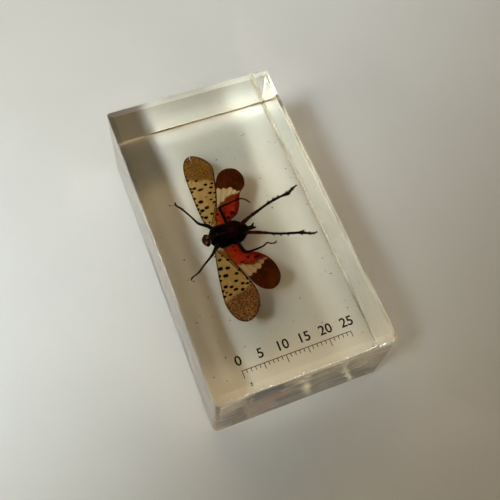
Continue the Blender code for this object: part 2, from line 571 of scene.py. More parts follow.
    def between(self, value: Socket, low: float, high: float) -> Socket:
        """How far a value has come from low to high, with soft ends.

        Args:
            value: the value.
            low: where the share is 0.
            high: where it is 1, which may be the lower of the two.

        Returns:
            The share socket, 0 to 1.
        """
        node = self.add("ShaderNodeMapRange", interpolation_type="SMOOTHSTEP")
        self.feed(node.inputs["Value"], value)
        self.feed(node.inputs["From Min"], low)
        self.feed(node.inputs["From Max"], high)
        return node.outputs["Result"]

    def mix(self, share: Number, first: Socket | Colour, second: Socket | Colour) -> Socket:
        """Mix two colours.

        Args:
            share: how much there is of the second, 0 to 1.
            first: the colour at 0.
            second: the colour at 1.

        Returns:
            The colour socket.
        """
        node = self.add("ShaderNodeMix", data_type="RGBA")
        self.feed(node.inputs["Factor"], share)
        for socket, colour in ((node.inputs["A"], first), (node.inputs["B"], second)):
            self.feed(socket, colour if isinstance(colour, bpy.types.NodeSocket) else (*colour, 1.0))
        return node.outputs["Result"]

    def bump(self, height: Socket, distance: float, strength: float = 1.0) -> Socket:
        """A bumped normal.

        Args:
            height: the height, 0 to 1.
            distance: how high 1 is, in mm.
            strength: the bump's strength.

        Returns:
            The normal socket.
        """
        node = self.add("ShaderNodeBump")
        self.feed(node.inputs["Height"], height)
        self.feed(node.inputs["Distance"], distance * MM)
        self.feed(node.inputs["Strength"], strength)
        return node.outputs["Normal"]

    def let_through(self, colour: Socket, share: float) -> None:
        """Mix in a Translucent shader, so that light from behind shows through a thin membrane.

        Args:
            colour: the colour of the light that comes through.
            share: the share of it, 0 to 1.
        """
        behind = self.add("ShaderNodeBsdfTranslucent")
        self.feed(behind.inputs["Color"], colour)
        mixer = self.add("ShaderNodeMixShader")
        self.feed(mixer.inputs[0], share)
        self.feed(mixer.inputs[1], self.shader.outputs[0])
        self.feed(mixer.inputs[2], behind.outputs[0])
        self.feed(self.output.inputs["Surface"], mixer.outputs[0])


class Finish(Protocol):
    """Anything that can make a material for a piece."""

    def material(self) -> bpy.types.Material:
        """Make the material."""


@dataclass(frozen=True)
class ResinFinish:
    """Clear cast resin, polished and a little yellow, wavy on the near wall and worn along its edges."""

    refractive_index: float = 1.5
    absorbed: Colour = (0.97, 0.86, 0.56)
    density: float = 12.0
    wave_spread: Point3 = (0.11, 0.11, 0.75)
    wave_height: float = 0.045
    wear_scale: float = 0.9
    wear: float = 7.0
    wall_spread: Point3 = (0.11, 0.5, 0.32)
    wall_waves: float = 3.2

    def material(self) -> bpy.types.Material:
        """Make the resin.

        Returns:
            The material.
        """
        board = Board("clear_resin")
        waves = board.noise(board.stretched(self.wave_spread), 1.0, detail=2.0)
        wear = board.times(board.noise(board.place(), self.wear_scale, detail=3.0), self.wear)
        streaks = board.noise(board.stretched(self.wall_spread), 1.0, detail=3.0, distortion=0.8)
        streaks = board.times(streaks, self.wall_waves)
        waves = board.plus(
            waves, board.times(wear, board.field("worn")), board.times(streaks, board.field("near_wall")),
        )
        board.set(
            Base_Color=(1.0, 1.0, 1.0, 1.0),
            Roughness=0.0,
            IOR=self.refractive_index,
            Transmission_Weight=1.0,
            Normal=board.bump(waves, self.wave_height),
        )
        depth = board.add("ShaderNodeVolumeAbsorption")
        depth.inputs["Color"].default_value = (*self.absorbed, 1.0)
        depth.inputs["Density"].default_value = self.density
        board.feed(board.output.inputs["Volume"], depth.outputs["Volume"])
        return board.material


@dataclass(frozen=True)
class CuticleFinish:
    """The hard, dark skin of the body, the head or a leg, in two shades with fine pits."""

    name: str
    dark: Colour
    light: Colour
    patch_scale: float = 1.2
    patch_border: Point2 = (0.42, 0.68)
    pit_scale: float = 9.0
    pit_border: Point2 = (0.60, 0.35)
    pit_depth: float = 0.05
    pit_dullness: float = 0.30
    roughness: float = 0.42
    gloss: float = 0.06
    marking: Colour | None = None
    marking_scale: float = 1.1
    marking_border: Point2 = (0.36, 0.60)

    def material(self) -> bpy.types.Material:
        """Make the cuticle.

        Returns:
            The material.
        """
        board = Board(self.name)
        where = board.place()
        patches = board.noise(where, self.patch_scale, detail=5.0, distortion=0.6)
        patches = board.between(patches, *self.patch_border)
        pits = board.noise(where, self.pit_scale, detail=4.0)
        colour = board.mix(patches, self.dark, self.light)
        if self.marking:
            broken = board.noise(where, self.marking_scale, detail=4.0)
            broken = board.between(broken, *self.marking_border)
            colour = board.mix(board.times(board.field("marking"), broken), colour, self.marking)
        dullness = board.times(pits, self.pit_dullness)
        board.set(
            Base_Color=board.mix(board.between(pits, *self.pit_border), colour, self.dark),
            Roughness=board.plus(dullness, self.roughness - self.pit_dullness / 2),
            Specular_IOR_Level=self.gloss,
            Normal=board.bump(pits, self.pit_depth),
        )
        return board.material


@dataclass(frozen=True)
class ForewingFinish:
    """A leathery forewing: spotted tan with golden patches, a brown tip with a pale net, and a dark rim.

    A border is where a marking begins and where it is full: in mm from its line, or as the noise's value.
    """

    name: str
    tan: Colour
    shaded_tan: Colour
    gold: Colour
    tip: Colour
    tip_net: Colour
    inner_strip: Colour
    spot: Colour = (0.010, 0.004, 0.002)
    pale_vein: Colour = (0.80, 0.62, 0.30)
    rim: Colour = (0.050, 0.020, 0.006)
    net_turn: float = 0.0
    net_cell: Point2 = (0.56, 0.30)
    net_border: Point2 = (0.16, 0.05)
    raggedness: float = 0.22
    streak_border: Point2 = (0.40, 0.75)
    gold_border: Point2 = (0.44, 0.60)
    worn_gold_border: Point2 = (0.48, 0.75)
    vein_border: Point2 = (0.075, 0.02)
    strip_border: Point2 = (-0.06, 0.10)
    seam_border: Point2 = (0.12, 0.05)
    pale_line_at: float = 0.19
    pale_line_border: Point2 = (0.10, 0.03)
    shaded_tip_border: Point2 = (0.35, 0.70)
    tip_border: Point2 = (-0.45, 0.45)
    spot_border: Point2 = (0.10, -0.03)
    rim_border: Point2 = (0.40, 0.12)
    relief: float = 0.03
    light_through: float = 0.3

    def net(self, board: Board) -> Socket:
        """How much of the pale net there is at each place: the walls of small flat cells.

        Args:
            board: the material's tree.

        Returns:
            The share socket.
        """
        wide, long = self.net_cell
        place = board.place((1 / MM / wide, 1 / MM / long, 0.7 / MM), (0.0, 0.0, self.net_turn))
        warped = board.add("ShaderNodeVectorMath", operation="ADD")
        board.feed(warped.inputs[0], place)
        sway = board.add("ShaderNodeTexNoise")
        board.feed(sway.inputs["Vector"], place)
        board.feed(sway.inputs["Scale"], 0.45)
        board.feed(warped.inputs[1], sway.outputs["Color"])
        return board.between(board.cells(warped.outputs[0], 1.0), *self.net_border)

    def material(self) -> bpy.types.Material:
        """Make the forewing.

        Returns:
            The material.
        """
        board = Board(self.name)
        where = board.place()
        ragged = board.noise(where, 2.6, detail=3.0)
        offset = board.times(board.less(ragged, 0.5), self.raggedness)

        streaks = board.noise(board.unwrapped((20.0, 2.5, 1.0)), 1.0, detail=3.0)
        ground = board.mix(board.between(streaks, *self.streak_border), self.tan, self.shaded_tan)
        golden = board.between(board.noise(where, 0.42, detail=3.0), *self.gold_border)
        ground = board.mix(board.times(golden, 0.6), ground, self.gold)
        veins = board.between(board.field("vein_mm"), *self.vein_border)
        ground = board.mix(board.times(veins, 0.22), ground, self.pale_vein)
        strip = board.between(board.field("strip_mm"), *self.strip_border)
        worn_gold = board.between(board.noise(where, 0.9, detail=3.0), *self.worn_gold_border)
        ground = board.mix(strip, ground, board.mix(worn_gold, self.inner_strip, self.gold))
        beside = board.reckon("ABSOLUTE", board.plus(board.field("strip_mm"), self.pale_line_at))
        beside = board.between(beside, *self.pale_line_border)
        ground = board.mix(board.times(beside, 0.5), ground, self.pale_vein)
        seam = board.between(board.reckon("ABSOLUTE", board.field("strip_mm")), *self.seam_border)
        ground = board.mix(board.times(seam, 0.8), ground, self.rim)

        net = self.net(board)
        shaded = board.between(board.noise(where, 0.55, detail=2.0), *self.shaded_tip_border)
        tip_tone = board.mix(shaded, self.tip, darker(self.tip, 0.70))
        tip = board.mix(board.times(net, 0.9), tip_tone, self.tip_net)
        tip_edge = board.plus(board.field("tip_mm"), board.times(offset, 4.0))
        colour = board.mix(board.between(tip_edge, *self.tip_border), ground, tip)

        spot_edge = board.plus(board.field("spot_mm"), offset)
        colour = board.mix(board.between(spot_edge, *self.spot_border), colour, self.spot)
        rim = board.between(board.field("rim_mm"), *self.rim_border)
        colour = board.mix(board.times(rim, 0.85), colour, self.rim)

        relief = board.plus(board.times(net, 0.6), board.times(veins, 0.8))
        board.set(
            Base_Color=colour,
            Roughness=0.5,
            Specular_IOR_Level=0.1,
            Normal=board.bump(relief, self.relief),
        )
        board.let_through(colour, self.light_through)
        return board.material


@dataclass(frozen=True)
class HindwingFinish:
    """A hindwing: mottled red at the body, a cream band with feathered borders, and a dark brown tip."""

    name: str
    red: Colour = (0.62, 0.034, 0.008)
    dark_red: Colour = (0.17, 0.008, 0.004)
    orange: Colour = (0.62, 0.13, 0.020)
    browned: Colour = (0.20, 0.075, 0.010)
    cream: Colour = (0.82, 0.62, 0.31)
    tip: Colour = (0.100, 0.0190, 0.0010)
    tip_light: Colour = (0.150, 0.0330, 0.0016)
    spot: Colour = (0.05, 0.003, 0.002)
    crimson: Colour = (0.20, 0.006, 0.006)
    margin: float = 1.3
    margin_softness: float = 1.1
    front_border: Point2 = (1.5, 0.4)
    mottle_border: Point2 = (0.50, 0.66)
    streak_border: Point2 = (0.50, 0.72)
    brown_border: Point2 = (-1.3, -0.3)
    spot_border: Point2 = (0.18, -0.12)
    vein_border: Point2 = (0.10, 0.03)
    shaded_cream_border: Point2 = (0.48, 0.75)
    band_border: Point2 = (-0.25, 0.25)
    fleck_border: Point2 = (0.10, 0.05)
    light_tip_border: Point2 = (0.35, 0.65)
    tip_border: Point2 = (-0.12, 0.12)
    relief: float = 0.03
    light_through: float = 0.4

    def inner_part(self, board: Board, ragged: Socket, streaks: Socket, veins: Socket) -> Socket:
        """The red part by the body, with its dark margins, its dots and its brown outer border.

        Args:
            board: the material's tree.
            ragged: an even noise about zero.
            streaks: the lengthwise streaks, 0 to 1.
            veins: 1 on the veins.

        Returns:
            The colour socket.
        """
        front = board.between(board.field("front_mm"), *self.front_border)
        base = board.mix(front, self.red, self.orange)
        mottle = board.noise(board.place(), 1.5, detail=5.0, distortion=0.8)
        mottle = board.between(mottle, *self.mottle_border)
        base = board.mix(board.times(mottle, 0.65), base, self.dark_red)
        margin = board.plus(board.field("rim_mm"), board.times(ragged, 1.4))
        margin = board.between(margin, self.margin, self.margin - self.margin_softness)
        margin = board.times(margin, board.between(board.field("front_mm"), 1.2, 2.4))
        base = board.mix(board.times(margin, 0.85), base, self.crimson)
        streaked = board.between(streaks, *self.streak_border)
        base = board.mix(board.times(streaked, 0.5), base, self.dark_red)
        feathered = board.times(board.less(streaks, 0.5), 3.0)
        toward_band = board.plus(board.field("band_mm"), board.times(ragged, 1.2), feathered)
        inside_rim = board.between(board.field("rim_mm"), 0.5, 1.3)
        brown = board.times(board.between(toward_band, *self.brown_border), inside_rim)
        base = board.mix(brown, base, self.browned)
        base = board.mix(board.times(veins, 0.35), base, self.orange)
        spot_edge = board.plus(board.field("spot_mm"), board.times(ragged, 0.4))
        return board.mix(board.between(spot_edge, *self.spot_border), base, self.spot)

    def material(self) -> bpy.types.Material:
        """Make the hindwing.

        Returns:
            The material.
        """
        board = Board(self.name)
        where = board.place()
        ragged = board.less(board.noise(where, 2.2, detail=3.0), 0.5)
        streaks = board.noise(board.unwrapped((20.0, 1.6, 1.0)), 1.0, detail=3.0)
        feathered = board.times(board.less(streaks, 0.5), 2.2)
        veins = board.between(board.field("vein_mm"), *self.vein_border)
        base = self.inner_part(board, ragged, streaks, veins)

        shaded = board.between(streaks, *self.shaded_cream_border)
        cream = board.mix(shaded, self.cream, darker(self.cream, 0.66))
        cream = board.mix(board.times(veins, 0.6), cream, self.browned)
        lobes = board.times(board.less(board.field("vein_mm"), 0.2), -0.5)
        band_edge = board.plus(board.field("band_mm"), board.times(ragged, 0.7), feathered)
        colour = board.mix(board.between(band_edge, *self.band_border), base, cream)

        flecks = board.between(board.flecks(board.place(1.05 / MM), 1.0), *self.fleck_border)
        tip = board.between(board.noise(where, 0.35, detail=2.0), *self.light_tip_border)
        tip = board.mix(tip, self.tip, self.tip_light)
        tip = board.mix(board.times(flecks, 0.35), tip, self.cream)
        waver = board.plus(board.times(feathered, 0.25), lobes)
        tip_edge = board.plus(board.field("tip_mm"), board.times(ragged, 0.4), waver)
        colour = board.mix(board.between(tip_edge, *self.tip_border), colour, tip)

        board.set(
            Base_Color=colour,
            Roughness=0.5,
            Specular_IOR_Level=0.05,
            Normal=board.bump(veins, self.relief),
        )
        board.let_through(colour, self.light_through)
        return board.material


@dataclass(frozen=True)
class PlainFinish:
    """A finish in two close shades with a soft mottle, for ink, dust and other small things."""

    name: str
    shade_one: Colour
    shade_two: Colour
    mottle_scale: float = 1.5
    roughness: float = 0.6

    def material(self) -> bpy.types.Material:
        """Make the finish.

        Returns:
            The material.
        """
        board = Board(self.name)
        mottle = board.noise(board.place(), self.mottle_scale, detail=4.0)
        board.set(
            Base_Color=board.mix(board.between(mottle, 0.35, 0.65), self.shade_one, self.shade_two),
            Roughness=self.roughness,
            Specular_IOR_Level=0.2,
        )
        return board.material


# ---------------------------------------------------------------------------------------------
# The pieces
# ---------------------------------------------------------------------------------------------


def hand_over(piece: Piece, finish: bpy.types.Material, slot: Slot, *nodes: str) -> Piece:
    """Dress a finished piece, bring it to metres and tell the frame what it is.

    Args:
        piece: the mesh object, in mm.
        finish: its material.
        slot: the record's slot that it would take its finish from; not used.
        nodes: the CAD nodes that it stands for.

    Returns:
        The piece.
    """
    piece.data.transform(Matrix.Scale(MM, 4))
    piece.data.materials.clear()
    piece.data.materials.append(finish)
    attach(piece, "root")
    if nodes:
        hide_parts(*nodes)
    LOG.info("%s: %d faces", piece.name, len(piece.data.polygons))
    return piece


def dress_insect(piece: Piece, finish: Finish) -> Piece:
    """Dress and hand over a part of the insect, which stands for the specimen's one node."""
    return hand_over(piece, finish.material(), Slot.INSECT, SPECIMEN)


@dataclass
class ResinBlock:
    """The clear block, sized from the CAD solids' box: its top edges are ground to shallow facets.

    Sizes are in mm and angles in degrees. A facet is its width and its slope.
    """

    low: Vector
    high: Vector
    corner_radii: dict[tuple[int, int], float] = field(default_factory=lambda: {
        (-1, -1): 1.2, (1, -1): 0.7, (1, 1): 0.55, (-1, 1): 0.8,
    })
    top_edge_radius: float = 0.28
    near_edge_radius: float = 0.52
    base_chamfer: Point2 = (0.36, 0.36)
    right_chamfer: Point2 = (0.62, 0.62)
    facet_softness: float = 0.10
    side_facet: Facet = (1.30, 21.0)
    near_facet: Facet = (1.90, 17.0)
    far_facet: Facet = (2.10, 21.0)
    rounding_cuts: int = 5
    past_rounding: float = 0.18
    beside_facet: float = 0.32
    above_base: float = 1.5
    below_top: float = 1.6
    finest_cut: float = 0.03
    face_pitch: float = 2.4
    unevenness: float = 0.022
    dip: float = 1.3
    dip_reach: float = 0.7
    waver: float = 0.8
    waver_reach: float = 0.5
    coarse_ripple: float = 0.45
    fine_ripple: float = 1.3
    foot: float = 0.02
    sharp_angle: float = 24.0
    wear_depth: float = 1.1
    near_wear: float = 0.9
    left_wear: float = 0.8
    corner_wear: float = 1.6
    wall_skin: float = 0.3
    right_chamfer_start: float = -26.0
    right_chamfer_run: float = 7.0
    facets_from: float = 15.0
    facets_full: float = 23.4
    chips: list[tuple[Point3, Point3]] = field(default_factory=lambda: [
        ((19.70, -36.20, 0.7), (0.75, -0.45, -0.5)),
        ((-19.75, -36.20, 0.5), (-0.5, -0.6, -0.62)),
        ((19.45, -36.25, 23.0), (0.45, -0.60, 0.66)),
    ])

    def edge_cuts(self, radius: float) -> list[float]:
        """Distances from an edge at which its rounding is cut, and one past it to settle the shading."""
        angles = [math.pi / 4 * i / self.rounding_cuts for i in range(self.rounding_cuts)]
        return [radius * (1.0 - math.tan(angle)) for angle in angles] + [radius + self.past_rounding]

    def facet_cuts(self, width: float) -> list[float]:
        """Distances from an edge at which the inner border of a facet of this width is cut."""
        beside = (-self.beside_facet, -self.facet_softness, 0.0, self.facet_softness, self.beside_facet)
        return [width + distance for distance in beside]

    def cuts(
        self, low: float, high: float, from_low: Sequence[float], from_high: Sequence[float],
    ) -> list[float]:
        """Where the block is cut across one axis.

        Args:
            low: the block's low end on the axis, in mm.
            high: its high end, in mm.
            from_low: distances from the low end that are cut.
            from_high: distances from the high end that are cut.

        Returns:
            The places of the cuts, with even ones between those that are asked for.
        """
        left, right = low + max(from_low), high - max(from_high)
        count = max(1, round((right - left) / self.face_pitch))
        flat = [left + (right - left) * i / count for i in range(1, count)]
        places = [low]
        for place in sorted([low + d for d in from_low] + flat + [high - d for d in from_high]):
            if place - places[-1] > self.finest_cut:
                places.append(place)
        return places[1:]

    def make(self) -> Piece:
        """Model the block.

        Returns:
            The object, in mm.
        """
        low, high = self.low / MM, self.high / MM
        rounding = self.edge_cuts(self.top_edge_radius) + self.edge_cuts(self.near_edge_radius)
        edges = [self.base_chamfer[0], self.right_chamfer[0]] + rounding
        for radius in set(self.corner_radii.values()):
            edges = edges + self.edge_cuts(radius)
        sides = edges + self.facet_cuts(self.side_facet[0])
        near, far = (edges + self.facet_cuts(facet[0]) for facet in (self.near_facet, self.far_facet))
        rises = (self.base_chamfer[1], self.right_chamfer[1])
        base = [rise * share for rise in rises for share in (0.5, 1.0)] + [self.above_base]
        plans = (
            self.cuts(low.x, high.x, sides, sides),
            self.cuts(low.y, high.y, near, far),
            self.cuts(low.z, high.z, base, rounding + [self.below_top]),
        )
        clear_selection()
        bpy.ops.mesh.primitive_cube_add(size=1.0, location=(low + high) / 2, scale=high - low)
        piece = settle("resin_block")
        with editing(piece):
            for axis, places in enumerate(plans):
                normal = Vector([float(axis == k) for k in range(3)])
                for place in places:
                    bpy.ops.mesh.select_all(action="SELECT")
                    bpy.ops.mesh.bisect(plane_co=place * normal, plane_no=normal)
        self.grind(piece, low, high)
        self.chip(piece)
        self.mark_wear(piece, low, high)
        shade(piece, self.sharp_angle)
        return piece

    def mark_wear(self, piece: Piece, low: Vector, high: Vector) -> None:
        """Keep how worn the top edges are and where the near wall is, for the resin's finish.

        Args:
            piece: the ground block, in mm.
            low: the block's low corner, in mm.
            high: its high corner, in mm.
        """
        points = read_points(piece)
        left, near, below = points[:, 0] - low.x, points[:, 1] - low.y, high.z - points[:, 2]
        near_edge, left_edge = hump(near / self.near_wear), 0.5 * hump(left / self.left_wear)
        edges = np.maximum(near_edge, left_edge) * hump(below / self.wear_depth)
        corner = hump(np.hypot(left, near) / self.corner_wear)
        write_field(piece, "worn", np.maximum(edges, corner))
        write_field(piece, "near_wall", np.clip(1.0 - near / self.wall_skin, 0.0, 1.0))

    def grind(self, piece: Piece, low: Vector, high: Vector) -> None:
        """Round the corners and the edges, and grind the facets along the top.

        Args:
            piece: the cut cube, in mm.
            low: the block's low corner, in mm.
            high: its high corner, in mm.
        """
        middle, half = (low + high) / 2, (high - low) / 2
        for vertex in piece.data.vertices:
            place = vertex.co - middle
            corner_radius = self.corner_radii[(1 if place.x > 0 else -1, 1 if place.y > 0 else -1)]
            reaches = [h - corner_radius for h in half.xy]
            core = Vector([max(-reach, min(reach, p)) for p, reach in zip(place.xy, reaches)])
            out = place.xy - core
            reach = max(abs(out.x), abs(out.y)) / corner_radius
            inset = min(half.x - abs(place.x), half.y - abs(place.y))
            if abs(out.x) > 1e-6 and abs(out.y) > 1e-6:
                inset = corner_radius * (1.0 - reach)
                place.xy = core + out.normalized() * corner_radius * reach
                outward = out.normalized()
            elif half.x - abs(place.x) < half.y - abs(place.y):
                outward = Vector((math.copysign(1.0, place.x), 0.0))
            else:
                outward = Vector((0.0, math.copysign(1.0, place.y)))
            wide, tall = self.edge_size(place, outward)
            across = max(0.0, 1.0 - inset / wide)
            up = max(0.0, 1.0 - (half.z - abs(place.z)) / tall)
            if across > 0 and up > 0:
                length = math.hypot(across, up) if place.z > 0 else across + up
                place.xy += outward * (wide * across / length - wide * across)
                place.z = math.copysign(half.z - tall + tall * up / length, place.z)
                inset = wide * (1.0 - across / length)
            vertex.co = middle + place
            self.lower(vertex, place, half, inset, outward)
            vertex.co.z = max(vertex.co.z, self.foot)

    def edge_size(self, place: Vector, outward: Vector) -> Point2:
        """How wide and how tall the worn edge is: rounded along the top, ground flat along the base.

        Args:
            place: the place, from the block's middle.
            outward: the outline's direction there.

        Returns:
            The width and the height, in mm.
        """
        if place.z > 0:
            nearness = max(0.0, -outward.y) ** 2
            radius = self.top_edge_radius + (self.near_edge_radius - self.top_edge_radius) * nearness
            return (radius, radius)
        along = (place.y - self.right_chamfer_start) / self.right_chamfer_run
        share = max(0.0, outward.x) ** 2 * max(0.0, min(1.0, along))
        sizes = zip(self.base_chamfer, self.right_chamfer)
        return tuple(plain + (right - plain) * share for plain, right in sizes)

    def lower(
        self, vertex: bpy.types.MeshVertex, place: Vector, half: Vector, inset: float, outward: Vector,
    ) -> None:
        """Lower one vertex to its facet, and dip it a little where a hand-ground edge is uneven.

        Args:
            vertex: the vertex.
            place: its place from the block's middle, in mm.
            half: half the block's size, in mm.
            inset: how far in from the outline it is, in mm.
            outward: the outline's direction there.
        """
        drop = 0.0
        borders = (
            (self.side_facet, half.x - abs(place.x)),
            (self.near_facet, half.y + place.y),
            (self.far_facet, half.y - place.y),
        )
        for (width, slope), distance in borders:
            excess = (width - distance) / self.facet_softness
            soft = max(0.0, excess) if abs(excess) > 1.0 else (excess + 1.0) ** 2 / 4
            drop = max(drop, soft * self.facet_softness * math.tan(math.radians(slope)))
        rise = (place.z + half.z - self.facets_from) / (self.facets_full - self.facets_from)
        share = max(0.0, min(1.0, rise))
        on_edge = math.exp(-inset / self.dip_reach) * share
        ripple = noise.noise(vertex.co * self.coarse_ripple + RIPPLE_SHIFT)
        ripple += 0.5 * noise.noise(vertex.co * self.fine_ripple)
        vertex.co.z -= share * drop + on_edge * self.unevenness * (self.dip + 2.0 * ripple)
        waver = math.exp(-inset / self.waver_reach) * (self.waver + ripple)
        vertex.co.xy -= outward * self.unevenness * waver

    def chip(self, piece: Piece) -> None:
        """Cut the small chips off the corners.

        Args:
            piece: the rounded block, in mm.
        """
        with editing(piece):
            for point, normal in self.chips:
                bpy.ops.mesh.select_all(action="SELECT")
                bpy.ops.mesh.bisect(plane_co=point, plane_no=normal, use_fill=True, clear_outer=True)

    def build(self) -> Piece:
        """Model and dress the block."""
        finish = ResinFinish().material()
        return hand_over(self.make(), finish, Slot.RESIN, "resin_lower_half", "resin_upper_half")


@dataclass
class Wing:
    """A wing: a thin membrane on a grid that runs from its hinge to its tip. Sizes are in mm.

    A spot is its x and y and its half sizes. A tear is its place across the wing and where it starts
    along it, both as shares, and its width at the tip.
    """

    name: str
    side: Side
    outline: list[Point2]
    height: float
    tip_line: list[Point2]
    spots: list[tuple[float, float, float, float]]
    finish: Finish
    columns: int = 66
    rows: int = 190
    veins: int = 11
    ripple: float = 0.02
    arch: float = 0.05
    swell: float = 0.05
    swell_scale: float = 0.25
    thickness: float = 0.07
    strip_line: list[Point2] = field(default_factory=list)
    band_line: list[Point2] = field(default_factory=list)
    front_line: list[Point2] = field(default_factory=list)
    tear: tuple[float, float, float] | None = None

    def rim(self) -> np.ndarray:
        """The smooth closed outline as rows x, y, in mm."""
        return np.array(smooth_path(self.outline, 12, closed=True))

    def edges_at(self, y: float, rim: np.ndarray) -> tuple[float, float]:
        """The lowest and highest x of the outline at a given y.

        Args:
            y: where the wing is crossed, in mm.
            rim: the smooth outline.

        Returns:
            The two x, in mm.
        """
        following = np.roll(rim, -1, axis=0)
        crossing = (rim[:, 1] - y) * (following[:, 1] - y) <= 0
        a, b = rim[crossing], following[crossing]
        rise = np.where(np.abs(b[:, 1] - a[:, 1]) < 1e-9, 1e-9, b[:, 1] - a[:, 1])
        x = a[:, 0] + (b[:, 0] - a[:, 0]) * np.clip((y - a[:, 1]) / rise, 0, 1)
        return float(x.min()), float(x.max())

    def make(self) -> Piece:
        """Model the wing.

        Returns:
            The object, in mm, with its fields kept on its vertices.
        """
        clear_selection()
        bpy.ops.mesh.primitive_grid_add(x_subdivisions=self.columns, y_subdivisions=self.rows, size=1.0)
        piece = settle(self.name)
        places = read_points(piece)
        u, v = places[:, 0] + 0.5, places[:, 1] + 0.5
        if self.side is Side.NEAR:
            v = 1.0 - v
        self.tear_off(piece, u, v)
        write_points(piece, self.lay(u, v))
        apply_modifier(piece, "WELD", merge_threshold=0.004)
        apply_modifier(piece, "SOLIDIFY", thickness=self.thickness, offset=0.0, use_even_offset=False)
        with editing(piece):
            bpy.ops.mesh.normals_make_consistent(inside=False)
        self.mark(piece)
        shade(piece, 60.0)
        return piece

    def tear_off(self, piece: Piece, u: np.ndarray, v: np.ndarray) -> None:
        """Open the tear at the tip, where the wing has one, by taking out a strip of faces.

        Args:
            piece: the grid.
            u: each vertex's place across the wing, 0 to 1.
            v: each vertex's place along the wing, 0 to 1.
        """
        if not self.tear:
            return
        across, along, _ = self.tear
        column = round(across * self.columns)
        for face in piece.data.polygons:
            corners = list(face.vertices)
            in_column = abs(float(np.mean(u[corners])) * self.columns - column - 0.5) < 0.25
            face.select = bool(in_column and float(np.mean(v[corners])) > along)
        for group in (piece.data.vertices, piece.data.edges):
            for item in group:
                item.select = False
        with editing(piece, everything=False):
            bpy.ops.mesh.select_mode(type="FACE")
            bpy.ops.mesh.delete(type="FACE")
            bpy.ops.mesh.select_mode(type="VERT")

    def lay(self, u: np.ndarray, v: np.ndarray) -> np.ndarray:
        """Where the grid's vertices go in the wing.

        Args:
            u: each vertex's place across the wing, 0 to 1.
            v: each vertex's place along the wing, 0 at the hinge to 1 at the tip.

        Returns:
            Rows x, y, z in mm.
        """
        rim = self.rim()
        lowest, highest = rim[:, 1].min() + 0.002, rim[:, 1].max() - 0.002
        root, tip = (lowest, highest) if self.side is Side.FAR else (highest, lowest)
        y = root + (tip - root) * np.sin(v * math.pi / 2)
        levels = np.round(v, 6)
        spans = {level: self.edges_at(root + (tip - root) * math.sin(level * math.pi / 2), rim)
                 for level in np.unique(levels)}
        left, right = np.array([spans[level] for level in levels]).T
        x = left + (right - left) * u
        if self.tear:
            across, along, width = self.tear
            column = round(across * self.columns) / self.columns
            step = 1.0 / self.columns
            opening = width * np.clip((v - along) / (1.0 - along), 0, 1)
            pull = np.where(u <= column + step / 4, -1.0, 1.0) * (opening / 2 - step * (right - left) / 2)
            nearness = np.clip(1.0 - np.abs(u - column - step / 2) / 0.25, 0, 1)
            x = np.where(v > along, x + pull * nearness, x)
        z = self.height + self.arch * np.sin(math.pi * u) * np.sin(math.pi * np.clip(v, 0, 1))
        z += self.ripple * np.cos(2 * math.pi * u * self.veins) * np.clip(1.2 - v, 0, 1)
        places = zip(x * self.swell_scale, y * self.swell_scale)
        swell = np.array([noise.noise(Vector((px, py, self.height))) for px, py in places])
        return np.column_stack([x, y, z + self.swell * swell])

    def mark(self, piece: Piece) -> None:
        """Keep the distances that the finish draws its markings from, in mm.

        Args:
            piece: the finished membrane.
        """
        points = read_points(piece)
        x, y = points[:, 0], points[:, 1]
        rim = self.rim()
        nearest = np.full(len(x), 99.0)
        for (ax, ay), (bx, by) in zip(rim, np.roll(rim, -1, axis=0)):
            along = np.array([bx - ax, by - ay])
            share = np.clip(((x - ax) * along[0] + (y - ay) * along[1]) / max(along @ along, 1e-12), 0, 1)
            nearest = np.minimum(nearest, np.hypot(x - ax - share * along[0], y - ay - share * along[1]))
        write_field(piece, "rim_mm", nearest)

        spotted = np.full(len(x), 9.0)
        for cx, cy, across, along in self.spots:
            reach = np.sqrt(((x - cx) / across) ** 2 + ((y - cy) / along) ** 2)
            spotted = np.minimum(spotted, (reach - 1.0) * min(across, along))
        write_field(piece, "spot_mm", spotted)

        for name, line in (("tip_mm", self.tip_line), ("band_mm", self.band_line)):
            if line:
                write_field(piece, name, self.side.value * (y - self.line_at(line, x)))
        for name, line in (("strip_mm", self.strip_line), ("front_mm", self.front_line)):
            if line:
                write_field(piece, name, x - self.line_at([(b, a) for a, b in line], y))
        levels = np.linspace(rim[:, 1].min() + 0.01, rim[:, 1].max() - 0.01, 160)
        spans = np.array([self.edges_at(level, rim) for level in levels])
        left, right = (np.interp(y, levels, edge) for edge in spans.T)
        across = np.clip((x - left) / np.maximum(right - left, 0.05), 0, 1) * self.veins
        write_field(piece, "vein_mm", np.abs(across - np.round(across)) * (right - left) / self.veins)

    @staticmethod
    def line_at(line: Sequence[Point2], where: np.ndarray) -> np.ndarray:
        """The height of a line over each place.

        Args:
            line: the line's points, in any order.
            where: the places along it.

        Returns:
            The line's second coordinate at each place, level past its ends.
        """
        ordered = sorted(line)
        return np.interp(where, [point[0] for point in ordered], [point[1] for point in ordered])

    def build(self) -> Piece:
        """Model and dress the wing."""
        return dress_insect(self.make(), self.finish)


def spot(x: float, y: float, size: float = 0.30) -> tuple[float, float, float, float]:
    """A spot that is a little wider across the body than along the wing: x, y and its half sizes."""
    return (x, y, size * 1.25, size * 0.85)


